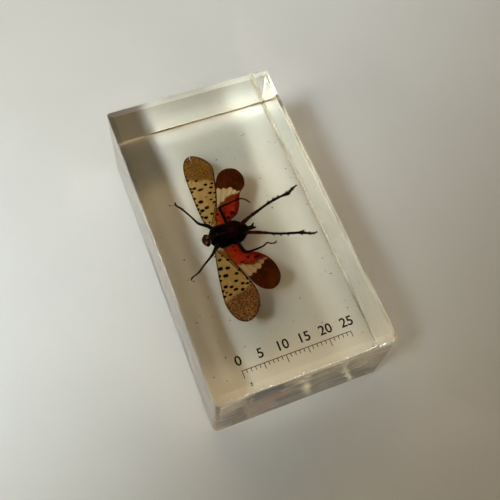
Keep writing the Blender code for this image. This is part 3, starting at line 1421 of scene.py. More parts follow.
def far_forewing() -> Wing:
    """The forewing on the far side, with the tear in its tip."""
    return Wing(
        name="far_forewing",
        side=Side.FAR,
        height=12.12,
        outline=[
            (-6.0, 2.6), (-7.2, 5.2), (-7.5, 9.0), (-7.5, 13.0), (-7.4, 17.5), (-7.0, 20.3),
            (-6.0, 22.3), (-4.5, 22.98), (-2.8, 22.3), (-1.2, 20.6), (-0.4, 18.3), (-0.9, 15.5),
            (-1.8, 12.0), (-3.0, 8.3), (-4.3, 5.2), (-4.6, 2.6),
        ],
        tip_line=[(-7.6, 17.4), (-6.3, 16.7), (-5.0, 16.0), (-3.0, 15.8), (-2.0, 15.1), (-1.0, 14.4)],
        strip_line=[
            (-6.4, 3.2), (-5.8, 4.4), (-4.85, 6.0), (-4.03, 7.45), (-3.3, 8.7), (-2.55, 10.2),
            (-2.1, 11.8), (-1.65, 13.4), (-1.35, 14.8),
        ],
        spots=[
            spot(-7.2, 16.95, 0.34), spot(-5.3, 16.2, 0.26), spot(-3.55, 14.6, 0.34),
            spot(-2.05, 14.45, 0.28), spot(-6.35, 14.45, 0.35), spot(-7.15, 14.6, 0.30),
            (-5.1, 13.7, 0.66, 0.28), spot(-7.25, 13.8, 0.34), spot(-2.6, 13.5, 0.34),
            spot(-1.35, 13.6, 0.24), spot(-3.3, 12.2, 0.33), spot(-7.3, 11.9, 0.34),
            spot(-2.3, 11.9, 0.2), spot(-4.5, 11.5, 0.14), spot(-6.1, 10.65, 0.46),
            spot(-2.35, 10.75, 0.25), spot(-3.65, 10.5, 0.25), spot(-7.3, 10.1, 0.34),
            spot(-3.2, 9.6, 0.3), spot(-5.3, 8.8, 0.42), spot(-2.9, 8.7, 0.25), spot(-6.5, 8.4, 0.43),
            spot(-7.4, 9.0, 0.34), spot(-7.35, 7.9, 0.28), spot(-4.75, 6.95, 0.28),
            spot(-6.35, 6.45, 0.38), spot(-7.25, 6.85, 0.32), spot(-7.1, 5.3, 0.24),
            spot(-5.95, 5.05, 0.2),
        ],
        tear=(0.42, 0.74, 0.50),
        finish=ForewingFinish(
            name="far_forewing_membrane", tan=(0.74, 0.52, 0.20), shaded_tan=(0.55, 0.36, 0.12),
            gold=(0.66, 0.41, 0.09), tip=(0.19, 0.080, 0.011), tip_net=(0.54, 0.27, 0.060),
            inner_strip=(0.46, 0.165, 0.035), net_turn=-4.0, net_cell=(0.56, 0.32),
        ),
    )


def near_forewing() -> Wing:
    """The forewing on the near side."""
    return Wing(
        name="near_forewing",
        side=Side.NEAR,
        height=12.12,
        outline=[
            (-5.3, -0.6), (-4.7, -4.5), (-3.6, -7.5), (-2.7, -10.3), (-2.0, -12.7), (-1.85, -14.8),
            (-2.5, -17.2), (-4.1, -19.2), (-6.1, -19.95), (-7.9, -19.2), (-9.1, -17.2), (-9.55, -14.5),
            (-9.2, -11.2), (-8.6, -7.6), (-7.8, -3.8), (-6.9, -0.6),
        ],
        tip_line=[
            (-9.6, -14.3), (-8.0, -14.0), (-7.0, -13.5), (-5.6, -13.2), (-4.2, -12.9), (-3.0, -12.1),
            (-2.0, -11.6),
        ],
        strip_line=[
            (-6.9, -1.6), (-6.7, -2.8), (-5.97, -4.0), (-5.43, -5.15), (-4.5, -7.2), (-3.75, -8.55),
            (-3.06, -10.2), (-2.35, -11.6),
        ],
        spots=[
            spot(-6.25, -3.7, 0.2), spot(-7.1, -4.45, 0.34), spot(-5.4, -5.0, 0.28),
            spot(-4.2, -5.2, 0.22), spot(-7.65, -6.5, 0.44), spot(-6.1, -6.85, 0.40),
            spot(-3.55, -7.3, 0.24), (-3.7, -8.1, 0.46, 0.27), spot(-4.7, -8.75, 0.34),
            spot(-7.15, -8.45, 0.47), spot(-8.5, -8.1, 0.30), spot(-8.65, -9.2, 0.28),
            spot(-5.45, -10.35, 0.34), (-2.95, -10.5, 0.2, 0.4), spot(-8.1, -10.9, 0.38),
            spot(-6.85, -11.35, 0.33), spot(-4.25, -11.35, 0.35), spot(-3.35, -11.7, 0.31),
            spot(-2.5, -11.6, 0.22), spot(-9.1, -11.65, 0.36), spot(-8.35, -12.2, 0.19),
            (-6.2, -12.2, 0.52, 0.27), spot(-4.8, -12.7, 0.33), spot(-9.15, -13.0, 0.34),
            spot(-7.75, -12.95, 0.29),
        ],
        tear=(0.50, 0.73, 0.11),
        finish=ForewingFinish(
            name="near_forewing_membrane", tan=(0.68, 0.45, 0.16), shaded_tan=(0.52, 0.33, 0.11),
            gold=(0.62, 0.37, 0.075), tip=(0.135, 0.046, 0.012), tip_net=(0.52, 0.24, 0.078),
            inner_strip=(0.37, 0.135, 0.036), net_turn=13.0, net_cell=(0.62, 0.33),
        ),
    )


def far_hindwing() -> Wing:
    """The hindwing on the far side."""
    return Wing(
        name="far_hindwing",
        side=Side.FAR,
        height=11.93,
        outline=[
            (-4.9, 2.4), (-4.6, 5.0), (-3.3, 8.5), (-2.0, 12.2), (-0.9, 14.8), (0.6, 16.6),
            (2.6, 17.08), (4.6, 16.2), (5.5, 14.0), (5.0, 11.6), (3.5, 10.2), (2.6, 8.6), (1.9, 6.8),
            (0.6, 5.0), (-1.2, 4.0), (-1.4, 2.4),
        ],
        tip_line=[
            (-2.0, 12.4), (-1.2, 12.75), (-0.7, 12.35), (0.0, 12.3), (0.55, 12.0), (1.2, 11.95),
            (1.9, 11.85), (2.15, 11.3), (2.35, 10.95), (3.0, 10.55), (3.6, 10.2), (4.2, 9.6),
        ],
        band_line=[
            (-2.9, 8.2), (-2.2, 8.8), (-1.7, 9.2), (-1.1, 9.1), (-0.6, 9.75), (0.1, 9.8), (0.8, 10.2),
            (1.5, 9.95), (2.4, 10.15), (3.3, 10.35), (3.9, 10.4),
        ],
        front_line=[(-4.9, 2.4), (-4.6, 5.0), (-3.3, 8.5), (-2.0, 12.2), (-0.9, 14.8)],
        spots=[
            (-0.3, 5.7, 0.5, 0.42), (-1.6, 4.9, 0.35, 0.3), (-3.6, 6.4, 0.3, 0.3),
            (-4.35, 5.3, 0.3, 0.3), (-2.1, 6.2, 0.2, 0.2),
        ],
        veins=5,
        ripple=0.035,
        thickness=0.05,
        finish=HindwingFinish(
            # The far wing's cream is brighter than the near wing's to paint the brighter light on the far
            # side: painted light.
            name="far_hindwing_membrane", red=(0.70, 0.052, 0.016), cream=(0.95, 0.78, 0.46),
        ),
    )


def near_hindwing() -> Wing:
    """The hindwing on the near side."""
    return Wing(
        name="near_hindwing",
        side=Side.NEAR,
        height=11.93,
        outline=[
            (-1.8, -0.8), (-0.6, -4.1), (1.8, -5.6), (3.5, -7.5), (4.4, -9.8), (4.4, -12.2),
            (3.3, -14.0), (1.5, -14.73), (-0.4, -14.0), (-1.8, -12.2), (-2.6, -10.0), (-3.4, -7.9),
            (-4.5, -5.3), (-5.2, -2.6), (-5.0, -0.8),
        ],
        tip_line=[
            (-2.8, -10.3), (-1.9, -10.1), (-1.3, -9.85), (-0.55, -9.75), (-0.15, -9.3), (0.6, -9.2),
            (1.1, -8.95), (1.3, -8.5), (1.8, -8.2), (2.3, -7.75), (3.0, -7.4), (4.0, -6.8),
        ],
        band_line=[
            (-3.6, -6.9), (-2.8, -7.1), (-2.1, -7.3), (-1.6, -7.7), (-0.9, -7.85), (-0.1, -8.05),
            (0.7, -7.8), (1.3, -7.45), (2.2, -7.3), (3.0, -7.35), (4.0, -7.4),
        ],
        front_line=[(-2.6, -10.0), (-3.4, -7.9), (-4.5, -5.3), (-5.2, -2.6), (-5.0, -0.8)],
        spots=[
            (1.0, -6.4, 0.6, 0.3), (-0.9, -5.9, 0.4, 0.25), (-2.6, -6.6, 0.3, 0.25),
            (-3.0, -3.3, 0.2, 0.2),
        ],
        veins=5,
        ripple=0.035,
        thickness=0.05,
        finish=HindwingFinish(
            # The near wing's cream is darker than the far wing's to paint the dimmer light on the near
            # side: painted shade.
            name="near_hindwing_membrane", red=(0.74, 0.052, 0.015), orange=(0.60, 0.085, 0.018),
            browned=(0.23, 0.052, 0.013), cream=(0.80, 0.59, 0.30), margin=1.4,
        ),
    )


@dataclass
class Body:
    """The thorax and the abdomen, belly up, with the roots of the legs. Sizes are in mm.

    A station is x, half width, height above the axis and depth below it. A hip is its middle, its half
    sizes and its turn in degrees.
    """

    axis_y: float = 0.85
    axis_z: float = 12.3
    segments: int = 64
    rings_per_span: int = 6
    stations: list[tuple[float, float, float, float]] = field(default_factory=lambda: [
        (-7.55, 0.60, 0.50, 0.60), (-7.35, 1.35, 0.95, 1.20), (-7.00, 1.85, 1.25, 1.55),
        (-6.50, 2.45, 1.60, 1.90), (-5.50, 2.84, 1.85, 2.18), (-4.20, 2.90, 1.90, 2.24),
        (-3.10, 2.72, 1.74, 2.08), (-2.30, 2.95, 1.74, 2.00), (-1.00, 2.90, 1.70, 1.90),
        (0.00, 2.40, 1.50, 1.64), (0.90, 1.66, 1.16, 1.26), (1.50, 0.96, 0.76, 0.80),
        (1.83, 0.30, 0.30, 0.30),
    ])
    belly_joints: list[float] = field(default_factory=lambda: [
        -2.35, -1.65, -0.95, -0.30, 0.30, 0.85, 1.30,
    ])
    thorax_joints: list[float] = field(default_factory=lambda: [-6.35, -4.75, -3.35])
    groove_depth: float = 0.10
    groove_width: float = 0.11
    bow: float = 0.05
    keel_height: float = 0.06
    keel_width: float = 0.16
    wrinkles: float = 0.05
    red_patch: tuple[float, float, float, float] = (-1.7, 0.9, 1.7, 1.5)
    hips: list[tuple[Point3, Point3, float]] = field(default_factory=lambda: [
        ((-6.15, 2.30, 13.05), (0.85, 0.55, 0.55), 35.0),
        ((-6.25, -0.45, 13.05), (0.85, 0.55, 0.55), -35.0),
        ((-3.10, 2.35, 13.30), (0.70, 0.95, 0.55), 8.0),
        ((-2.75, -0.60, 13.30), (0.70, 0.95, 0.55), -12.0),
        ((-0.95, 1.75, 13.20), (1.00, 0.60, 0.50), 22.0),
        ((-0.75, 0.05, 13.20), (1.00, 0.60, 0.50), -22.0),
    ])
    voxel: float = 0.075

    def make(self) -> Piece:
        """Model the body.

        Returns:
            The object, in mm.
        """
        profile = np.array(smooth_path(self.stations, self.rings_per_span))
        clear_selection()
        bpy.ops.mesh.primitive_cylinder_add(
            vertices=self.segments, radius=1.0, depth=1.0, end_fill_type="NGON",
            location=(profile[0][0] + 0.5, self.axis_y, self.axis_z), rotation=(0.0, math.pi / 2, 0.0),
        )
        trunk = settle("trunk")
        self.shape_rings(trunk, profile)
        parts = [trunk]
        for place, radii, turn in self.hips:
            parts.append(ball("hip", place, radii, turn))
        piece = join(parts, "body")
        melt(piece, self.voxel, 3)
        self.groove(piece)
        shade(piece, 60.0)
        return piece

    def shape_rings(self, trunk: Piece, profile: np.ndarray) -> None:
        """Extrude the cylinder's far end through the profile, ring by ring.

        Args:
            trunk: a cylinder of radius 1 along X, whose low end is at the first station.
            profile: rows x, half width, height above and depth below.
        """
        mesh = bmesh.new()
        mesh.from_mesh(trunk.data)
        ends = [face for face in mesh.faces if len(face.verts) > 4]
        first, last = sorted(ends, key=lambda face: face.calc_center_median().x)
        bmesh.ops.delete(mesh, geom=[last], context="FACES_ONLY")
        rings = [list(first.verts)]
        start = min(vertex.co.x for vertex in mesh.verts)
        second = [vertex for vertex in mesh.verts if vertex.co.x > start + 0.5]
        second = [min(second, key=lambda v, f=f: (v.co.yz - f.co.yz).length) for f in rings[0]]
        rings.append(second)
        for _ in range(len(profile) - 2):
            ring = [mesh.verts.new(vertex.co) for vertex in rings[-1]]
            for i, vertex in enumerate(ring):
                j = (i + 1) % len(ring)
                mesh.faces.new((rings[-1][i], rings[-1][j], ring[j], vertex))
            rings.append(ring)
        mesh.faces.new(rings[-1])
        directions = [(vertex.co.y - self.axis_y, vertex.co.z - self.axis_z) for vertex in rings[0]]
        for ring, (x, half_width, above, below) in zip(rings, profile):
            for vertex, (across, up) in zip(ring, directions):
                height = above if up > 0 else below
                vertex.co = (x, self.axis_y + across * half_width, self.axis_z + up * height)
        bmesh.ops.recalc_face_normals(mesh, faces=mesh.faces)
        mesh.to_mesh(trunk.data)
        mesh.free()

    def groove(self, piece: Piece) -> None:
        """Sink the joints between the segments, wrinkle the skin, and mark the red middle of the belly.

        Args:
            piece: the remeshed body.
        """
        points = read_points(piece)
        normals = np.zeros(len(points) * 3, np.float32)
        piece.data.vertices.foreach_get("normal", normals)
        normals = normals.reshape(-1, 3)
        x, across, up = points[:, 0], points[:, 1] - self.axis_y, points[:, 2] - self.axis_z
        depth = np.zeros(len(points))
        for joints, turn in ((self.belly_joints, 1.0), (self.thorax_joints, -1.0)):
            for joint in joints:
                bowed = x + turn * self.bow * across**2
                depth += self.groove_depth * hump((bowed - joint) / self.groove_width)
        depth -= self.keel_height * hump(across / self.keel_width) * (up > 0)
        rough = np.array([noise.fractal(Vector(p) * 1.6, 0.9, 2.0, 4) for p in points])
        write_points(piece, points - normals * (depth + self.wrinkles * (rough + 0.3))[:, None])
        cx, cy, half_length, half_width = self.red_patch
        reach = ((points[:, 0] - cx) / half_length) ** 2 + ((points[:, 1] - cy) / half_width) ** 2
        write_field(piece, "marking", np.exp(-reach) * np.clip(1.0 - depth / self.groove_depth, 0.0, 1.0))

    def build(self) -> Piece:
        """Model and dress the body."""
        finish = CuticleFinish(
            "body_cuticle", (0.0012, 0.0008, 0.0008), (0.012, 0.003, 0.002), patch_scale=0.38, gloss=0.03,
            marking=(0.065, 0.004, 0.003),
        )
        return dress_insect(self.make(), finish)


@dataclass
class Head:
    """The head with its eyes, the feelers' bulbs and the beak that lies along the belly."""

    centre: Point3 = (-8.25, 0.95, 12.25)
    radii: Point3 = (1.00, 1.30, 1.02)
    voxel: float = 0.06
    lumpiness: float = 0.05
    brow_lumps: list[tuple[Point3, Point3, float]] = field(default_factory=lambda: [
        ((-8.85, 0.95, 12.45), (0.34, 0.75, 0.42), 0.0), ((-8.45, 1.75, 12.75), (0.42, 0.40, 0.36), 30.0),
        ((-8.40, 0.35, 12.80), (0.44, 0.36, 0.34), -25.0), ((-7.85, 1.05, 13.00), (0.50, 0.52, 0.30), 0.0),
        ((-8.55, 1.05, 13.02), (0.40, 0.26, 0.24), 0.0), ((-7.40, 0.95, 12.60), (0.62, 1.20, 0.85), 0.0),
    ])
    eyes: list[Point3] = field(default_factory=lambda: [(-8.12, 2.10, 12.35), (-8.18, -0.22, 12.35)])
    eye_radii: Point3 = (0.50, 0.36, 0.48)
    feelers: list[Point3] = field(default_factory=lambda: [(-7.72, 2.12, 12.62), (-7.78, -0.30, 12.62)])
    beak: list[Bend] = field(default_factory=lambda: [
        (-8.4, 0.85, 12.95, 0.28), (-7.2, 0.85, 13.68, 0.24), (-5.0, 0.85, 14.27, 0.17),
        (-3.5, 0.85, 14.26, 0.09),
    ])

    def make_skull(self) -> Piece:
        """Model the brownish front of the head, in one lumpy form.

        Returns:
            The object, in mm.
        """
        parts = [ball("skull", self.centre, self.radii, segments=32, rings=20)]
        parts += [ball("lump", place, radii, turn) for place, radii, turn in self.brow_lumps]
        skull = join(parts, "head")
        melt(skull, self.voxel, 2)
        points = read_points(skull)
        rough = np.array([noise.fractal(Vector(p) * 2.4, 0.8, 2.0, 4) for p in points])
        outward = points - np.array(self.centre)
        outward /= np.linalg.norm(outward, axis=1)[:, None]
        write_points(skull, points + outward * self.lumpiness * (rough - 0.2)[:, None])
        shade(skull, 60.0)
        return skull

    def build(self) -> list[Piece]:
        """Model and dress the head's pieces.

        Returns:
            The pieces, ridden and dressed.
        """
        skull_finish = CuticleFinish(
            "head_cuticle", (0.030, 0.013, 0.007), (0.36, 0.17, 0.085), patch_scale=1.3, roughness=0.5,
        )
        eye_finish = CuticleFinish(
            "eye_cuticle", (0.012, 0.006, 0.004), (0.05, 0.026, 0.014), patch_scale=3.0, roughness=0.3,
        )
        beak_finish = CuticleFinish("beak_cuticle", (0.005, 0.004, 0.003), (0.02, 0.009, 0.005))
        eyes = [ball("eye", place, self.eye_radii, segments=28, rings=18) for place in self.eyes]
        eyes = join(eyes, "eyes")
        shade(eyes, 80.0)
        bulbs = []
        for place in self.feelers:
            bulbs.append(ball("bulb", place, (0.17, 0.17, 0.19)))
            outward = Vector((-0.25, math.copysign(0.34, place[1] - self.centre[1]), 0.22))
            bulbs.append(spike("bristle", Vector(place), Vector(place) + outward, 0.035))
        feelers = join(bulbs, "feelers")
        shade(feelers, 60.0)
        beak = tube("beak", smooth_path(self.beak, 8))
        shade(beak, 60.0)
        return [
            dress_insect(self.make_skull(), skull_finish),
            dress_insect(eyes, eye_finish),
            dress_insect(feelers, skull_finish),
            dress_insect(beak, beak_finish),
        ]


@dataclass
class Leg:
    """A leg from its root to its claws: a tube that swells at its joints, with spines and bristles."""

    name: str
    bends: list[Bend]
    knee: int
    ankle: int
    spines: list[tuple[Point3, Point3]] = field(default_factory=list)
    steps: int = 7
    bristle_pitch: float = 0.32
    bristle_length: float = 0.16
    bristle_radius: float = 0.022
    bristle_lean: float = 0.9
    spine_stretch: float = 1.5
    spine_radius: float = 0.29
    claw_length: float = 0.16
    claw_spread: float = 0.11
    claw_root: float = 0.08
    claw_radius: float = 0.045
    knee_swelling: float = 1.18
    joint_swelling: float = 0.22
    joint_length: float = 0.16
    roughness: float = 0.05
    seed: int = 1
    dark: Colour = (0.006, 0.005, 0.004)
    light: Colour = (0.020, 0.012, 0.008)
    thigh: Colour | None = None

    def make(self) -> Piece:
        """Model the leg.

        Returns:
            The object, in mm.
        """
        draw = random.Random(self.seed)
        path = [list(station) for station in smooth_path(self.bends, self.steps)]
        foot_joints = np.arange(self.ankle, len(self.bends))
        for i, station in enumerate(path):
            bulge = float(hump((i / self.steps - foot_joints) / self.joint_length).sum())
            station[3] *= 1.0 + self.joint_swelling * bulge + draw.uniform(-self.roughness, self.roughness)
        parts = [tube(self.name, path)]
        knee = self.bends[self.knee]
        parts.append(ball("knee", knee[:3], (knee[3] * self.knee_swelling,) * 3, segments=12, rings=8))
        for foot, tip in self.spines:
            foot, tip = Vector(foot), Vector(tip)
            parts.append(spike("spine", foot, foot + (tip - foot) * self.spine_stretch, self.spine_radius))
        parts += self.claws()
        parts += self.bristles(path, draw)
        piece = join(parts, self.name)
        past_knee = read_points(piece)[:, 0] - knee[0]
        write_field(piece, "marking", np.clip(0.5 - past_knee, 0.0, 1.0))
        shade(piece, 60.0)
        return piece

    def claws(self) -> list[Piece]:
        """Model the two claws at the end of the foot.

        Returns:
            The claws, in mm.
        """
        before, end = Vector(self.bends[-2][:3]), Vector(self.bends[-1][:3])
        along = (end - before).normalized()
        across = along.cross(Vector((0, 0, 1))).normalized()
        tips = [end + self.claw_length * along + side * self.claw_spread * across for side in (-1, 1)]
        return [spike("claw", end - self.claw_root * along, tip, self.claw_radius) for tip in tips]

    def bristles(self, path: Sequence[Sequence[float]], draw: random.Random) -> list[Piece]:
        """The bristles along the shin and the foot.

        Args:
            path: the leg's stations.
            draw: the source of the small irregularities.

        Returns:
            The bristles, in mm.
        """
        found = []
        travelled = 0.0
        shin = path[self.knee * self.steps:]
        for station, following in zip(shin, shin[1:]):
            here, there = Vector(station[:3]), Vector(following[:3])
            travelled += (there - here).length
            if travelled < self.bristle_pitch:
                continue
            travelled = 0.0
            along = (there - here).normalized()
            turn = Matrix.Rotation(draw.uniform(0, 2 * math.pi), 3, along)
            outward = turn @ along.orthogonal().normalized()
            foot = here + outward * station[3] * 0.8
            lean = (outward + self.bristle_lean * along).normalized()
            tip = foot + lean * self.bristle_length * draw.uniform(0.7, 1.2)
            found.append(spike("bristle", foot, tip, self.bristle_radius, sides=4))
        return found

    def build(self) -> Piece:
        """Model and dress the leg."""
        finish = CuticleFinish(
            f"{self.name}_cuticle", self.dark, self.light, patch_scale=0.8, marking=self.thigh,
        )
        return dress_insect(self.make(), finish)


HIND_LEG = {"thigh": (0.11, 0.010, 0.006), "joint_swelling": 0.55, "roughness": 0.16}


def legs() -> list[Leg]:
    """The six legs, each through the bends that its place in the block needs."""
    return [
        Leg("far_foreleg", [
            (-5.8, 2.6, 13.0, 0.46), (-6.8, 4.0, 13.2, 0.48), (-8.5, 5.3, 13.1, 0.31),
            (-9.4, 7.3, 12.9, 0.23), (-10.8, 10.2, 12.6, 0.24), (-11.3, 10.9, 12.5, 0.22),
            (-11.8, 11.8, 12.4, 0.23), (-11.7, 12.4, 12.3, 0.17),
        ], knee=2, ankle=4, seed=11),
        Leg("near_foreleg", [
            (-6.0, -0.6, 13.0, 0.44), (-7.0, -1.7, 13.2, 0.42), (-8.3, -3.0, 13.1, 0.30),
            (-10.5, -4.4, 12.8, 0.22), (-12.3, -5.7, 12.6, 0.20), (-13.2, -6.1, 12.5, 0.16),
            (-14.3, -6.5, 12.4, 0.18), (-14.6, -7.0, 12.3, 0.12),
        ], knee=2, ankle=4, seed=12),
        Leg("far_middle_leg", [
            (-2.6, 2.6, 13.2, 0.43), (-2.6, 4.6, 13.5, 0.42), (-2.8, 7.0, 13.4, 0.34),
            (-2.6, 7.5, 13.4, 0.28), (-0.9, 7.75, 13.3, 0.24), (2.2, 8.2, 13.0, 0.21),
            (3.1, 8.05, 12.8, 0.16), (3.9, 7.45, 12.6, 0.17),
            (4.5, 6.6, 12.4, 0.14),
        ], knee=2, ankle=5, seed=13),
        Leg("near_middle_leg", [
            (-2.2, -1.0, 13.2, 0.43), (-1.8, -2.8, 13.5, 0.42), (-1.5, -4.3, 13.4, 0.36),
            (-1.1, -4.9, 13.4, 0.30), (0.4, -5.05, 13.3, 0.24), (3.0, -4.8, 13.0, 0.20),
            (4.3, -4.25, 12.8, 0.17), (5.1, -4.65, 12.6, 0.16), (6.0, -4.8, 12.5, 0.17),
            (6.5, -4.4, 12.4, 0.13),
        ], knee=2, ankle=6, seed=14),
        Leg("far_hind_leg", [
            (-0.6, 1.7, 12.9, 0.44), (1.2, 2.25, 13.2, 0.45), (3.1, 3.1, 13.2, 0.42),
            (5.1, 3.8, 13.1, 0.35), (8.0, 4.85, 12.9, 0.30), (11.0, 5.6, 12.7, 0.31),
            (13.6, 5.95, 12.5, 0.38), (14.3, 6.3, 12.4, 0.27), (15.1, 6.75, 12.3, 0.34),
            (15.6, 7.0, 12.3, 0.22), (16.4, 7.3, 12.2, 0.18),
        ], knee=3, ankle=6, seed=15, **HIND_LEG, spines=[
            ((8.2, 5.0, 12.9), (8.45, 5.50, 12.9)), ((9.6, 5.4, 12.8), (9.88, 5.90, 12.8)),
            ((10.9, 5.65, 12.7), (11.2, 6.15, 12.7)), ((13.2, 6.05, 12.5), (13.45, 6.55, 12.5)),
            ((13.5, 5.9, 12.6), (13.95, 5.62, 12.75)),
        ]),
        Leg("near_hind_leg", [
            (-0.4, 0.1, 12.9, 0.44), (1.6, -0.65, 13.2, 0.45), (3.1, -1.2, 13.2, 0.42),
            (4.7, -1.85, 13.1, 0.35), (7.6, -3.05, 12.9, 0.29), (10.2, -3.8, 12.7, 0.31),
            (12.8, -4.5, 12.5, 0.38), (13.4, -4.75, 12.4, 0.27), (14.4, -5.2, 12.3, 0.33),
            (15.3, -5.5, 12.3, 0.21), (16.1, -5.4, 12.2, 0.17),
        ], knee=3, ankle=6, seed=16, **HIND_LEG, spines=[
            ((6.3, -2.6, 12.95), (6.48, -3.12, 12.95)), ((7.8, -3.15, 12.9), (7.98, -3.68, 12.9)),
            ((9.4, -3.6, 12.75), (9.58, -4.12, 12.75)), ((12.4, -4.45, 12.55), (12.58, -4.98, 12.55)),
            ((12.9, -4.4, 12.6), (13.35, -4.12, 12.7)),
        ]),
    ]


@dataclass
class Tail:
    """The two lobes at the end of the abdomen."""

    lobes: list[list[Bend]] = field(default_factory=lambda: [
        [(1.2, 0.9, 12.3, 0.48), (2.3, 0.75, 12.3, 0.43), (2.9, 1.15, 12.3, 0.25), (3.35, 1.6, 12.3, 0.14)],
        [(1.2, 0.6, 12.3, 0.43), (2.4, 0.55, 12.3, 0.40), (3.1, 0.45, 12.3, 0.28), (3.5, 0.3, 12.3, 0.14)],
    ])
    voxel: float = 0.05

    def build(self) -> Piece:
        """Model and dress the tail.

        Returns:
            The piece.
        """
        piece = join([tube("lobe", smooth_path(lobe, 6), resolution=4) for lobe in self.lobes], "tail")
        melt(piece, self.voxel, 2)
        shade(piece, 60.0)
        finish = CuticleFinish("tail_cuticle", (0.004, 0.004, 0.003), (0.016, 0.013, 0.008))
        return dress_insect(piece, finish)


@dataclass
class WingHinges:
    """The pale, crumpled skin at the roots of the forewings."""

    flakes: list[tuple[Point3, Point3, float]] = field(default_factory=lambda: [
        ((-6.38, -2.12, 12.62), (0.26, 0.17, 0.07), 60.0),
        ((-5.95, -2.18, 12.62), (0.24, 0.14, 0.06), -50.0),
        ((-6.12, -1.94, 12.70), (0.22, 0.13, 0.06), 15.0),
        ((-5.75, -2.42, 12.58), (0.18, 0.11, 0.05), 80.0),
        ((-5.90, 4.02, 12.32), (0.30, 0.20, 0.07), 20.0),
        ((-5.45, 4.12, 12.28), (0.22, 0.12, 0.06), -30.0),
    ])

    def build(self) -> Piece:
        """Model and dress the flakes.

        Returns:
            The piece.
        """
        flakes = [ball("flake", *flake, segments=14, rings=8) for flake in self.flakes]
        piece = join(flakes, "wing_hinges")
        roughen(piece, 0.07, 5.0)
        shade(piece, 70.0)
        finish = PlainFinish("pale_skin", (0.96, 0.92, 0.78), (0.66, 0.53, 0.34), mottle_scale=4.0)
        return dress_insect(piece, finish)


@dataclass
class ScalePrint:
    """A plain scale printed in the resin beside the insect: a line with ticks and plain numbers."""

    left: float = -11.5
    length: float = 25.0
    line_y: float = -29.6
    height: float = 12.0
    film: float = 0.03
    stroke: float = 0.16
    tick_heights: dict[int, float] = field(default_factory=lambda: {10: 1.7, 5: 1.3, 1: 0.8})
    digit_size: float = 3.0
    digit_y: float = -27.4

    def bar(self, x: float, y: float, width: float, depth: float) -> Piece:
        """A printed bar, from a cube primitive.

        Args:
            x: its middle along the print, in mm.
            y: its middle across the print, in mm.
            width: its size along the print.
            depth: its size across the print.

        Returns:
            The object, in mm.
        """
        clear_selection()
        size = (width, depth, self.film)
        bpy.ops.mesh.primitive_cube_add(size=1.0, location=(x, y, self.height), scale=size)
        return settle("bar")

    def number(self, text: str, x: float) -> Piece:
        """A plain number, centred over a tick.

        Args:
            text: the digits.
            x: the tick's place, in mm.

        Returns:
            The object, in mm.
        """
        clear_selection()
        bpy.ops.object.text_add(location=(x, self.digit_y, self.height))
        letters = bpy.context.object.data
        letters.body = text
        letters.size = self.digit_size
        letters.align_x = "CENTER"
        letters.align_y = "CENTER"
        letters.offset = 0.045
        letters.extrude = self.film / 2
        letters.resolution_u = 6
        bpy.ops.object.convert(target="MESH")
        return settle("number")

    def build(self) -> Piece:
        """Model and dress the print.

        Returns:
            The piece.
        """
        middle = self.left + self.length / 2
        parts = [self.bar(middle, self.line_y, self.length + self.stroke, self.stroke)]
        for step in range(int(self.length) + 1):
            tick = next(size for unit, size in self.tick_heights.items() if step % unit == 0)
            parts.append(self.bar(self.left + step, self.line_y - tick / 2, self.stroke, tick))
        parts += [self.number(str(step), self.left + step) for step in range(0, int(self.length) + 1, 5)]
        piece = join(parts, "scale_print")
        finish = PlainFinish("black_ink", (0.006, 0.006, 0.006), (0.014, 0.012, 0.011))
        return hand_over(piece, finish.material(), Slot.INSECT)


@dataclass
class DustSpecks:
    """The tiny dark specks in the resin and on it, joined in one mesh."""

    low: Vector
    high: Vector
    count: int = 240
    smallest: float = 0.07
    largest: float = 0.20
    crumple: float = 0.035
    crumple_scale: float = 9.0
    margin: float = 1.5
    share_on_top: float = 0.45
    insect_room: tuple[Point2, Point2, Point2] = ((-2.0, 8.0), (1.0, 22.0), (12.75, 2.25))
    seed: int = 5
    chosen: list[Point3] = field(default_factory=lambda: [
        (-9.0, -5.1, 14.0), (-9.9, -18.4, 12.0), (-1.4, -20.0, 12.5), (7.05, -1.9, 13.0),
        (-6.3, -20.6, 13.0),
    ])

    def build(self) -> Piece:
        """Model and dress the specks.

        Returns:
            The piece.
        """
        draw = random.Random(self.seed)
        low, high = self.low / MM, self.high / MM
        places = list(self.chosen)
        while len(places) < self.count:
            place = [draw.uniform(a + self.margin, b - self.margin) for a, b in zip(low, high)]
            if draw.random() < self.share_on_top:
                place[2] = high.z - draw.uniform(0.3, 1.0)
            off = [abs(part - middle) / half for part, (middle, half) in zip(place, self.insect_room)]
            if max(off) >= 1.0:
                places.append(tuple(place))
        parts = []
        for place in places:
            size = self.smallest + (self.largest - self.smallest) * draw.random() ** 3
            turn = (draw.uniform(0, 3), draw.uniform(0, 3), 0)
            flatness = (draw.uniform(0.7, 1.9), 1.0, draw.uniform(0.4, 0.8))
            clear_selection()
            bpy.ops.mesh.primitive_ico_sphere_add(
                subdivisions=1, radius=size, location=place, rotation=turn, scale=flatness,
            )
            parts.append(settle("speck"))
        piece = join(parts, "dust_specks")
        roughen(piece, self.crumple, self.crumple_scale)
        finish = PlainFinish("dust", (0.018, 0.014, 0.010), (0.07, 0.05, 0.03))
        return hand_over(piece, finish.material(), Slot.INSECT)


# ---------------------------------------------------------------------------------------------
# The studio
# ---------------------------------------------------------------------------------------------


FLOOR_LIT = (-176.4, 343.5, 0.0)
FLOOR_LEFT = (-85.0, -5.0, 0.0)
NEAR_END = (0.0, -20.0, 12.0)
MIDDLE = (0.0, 0.0, 12.0)


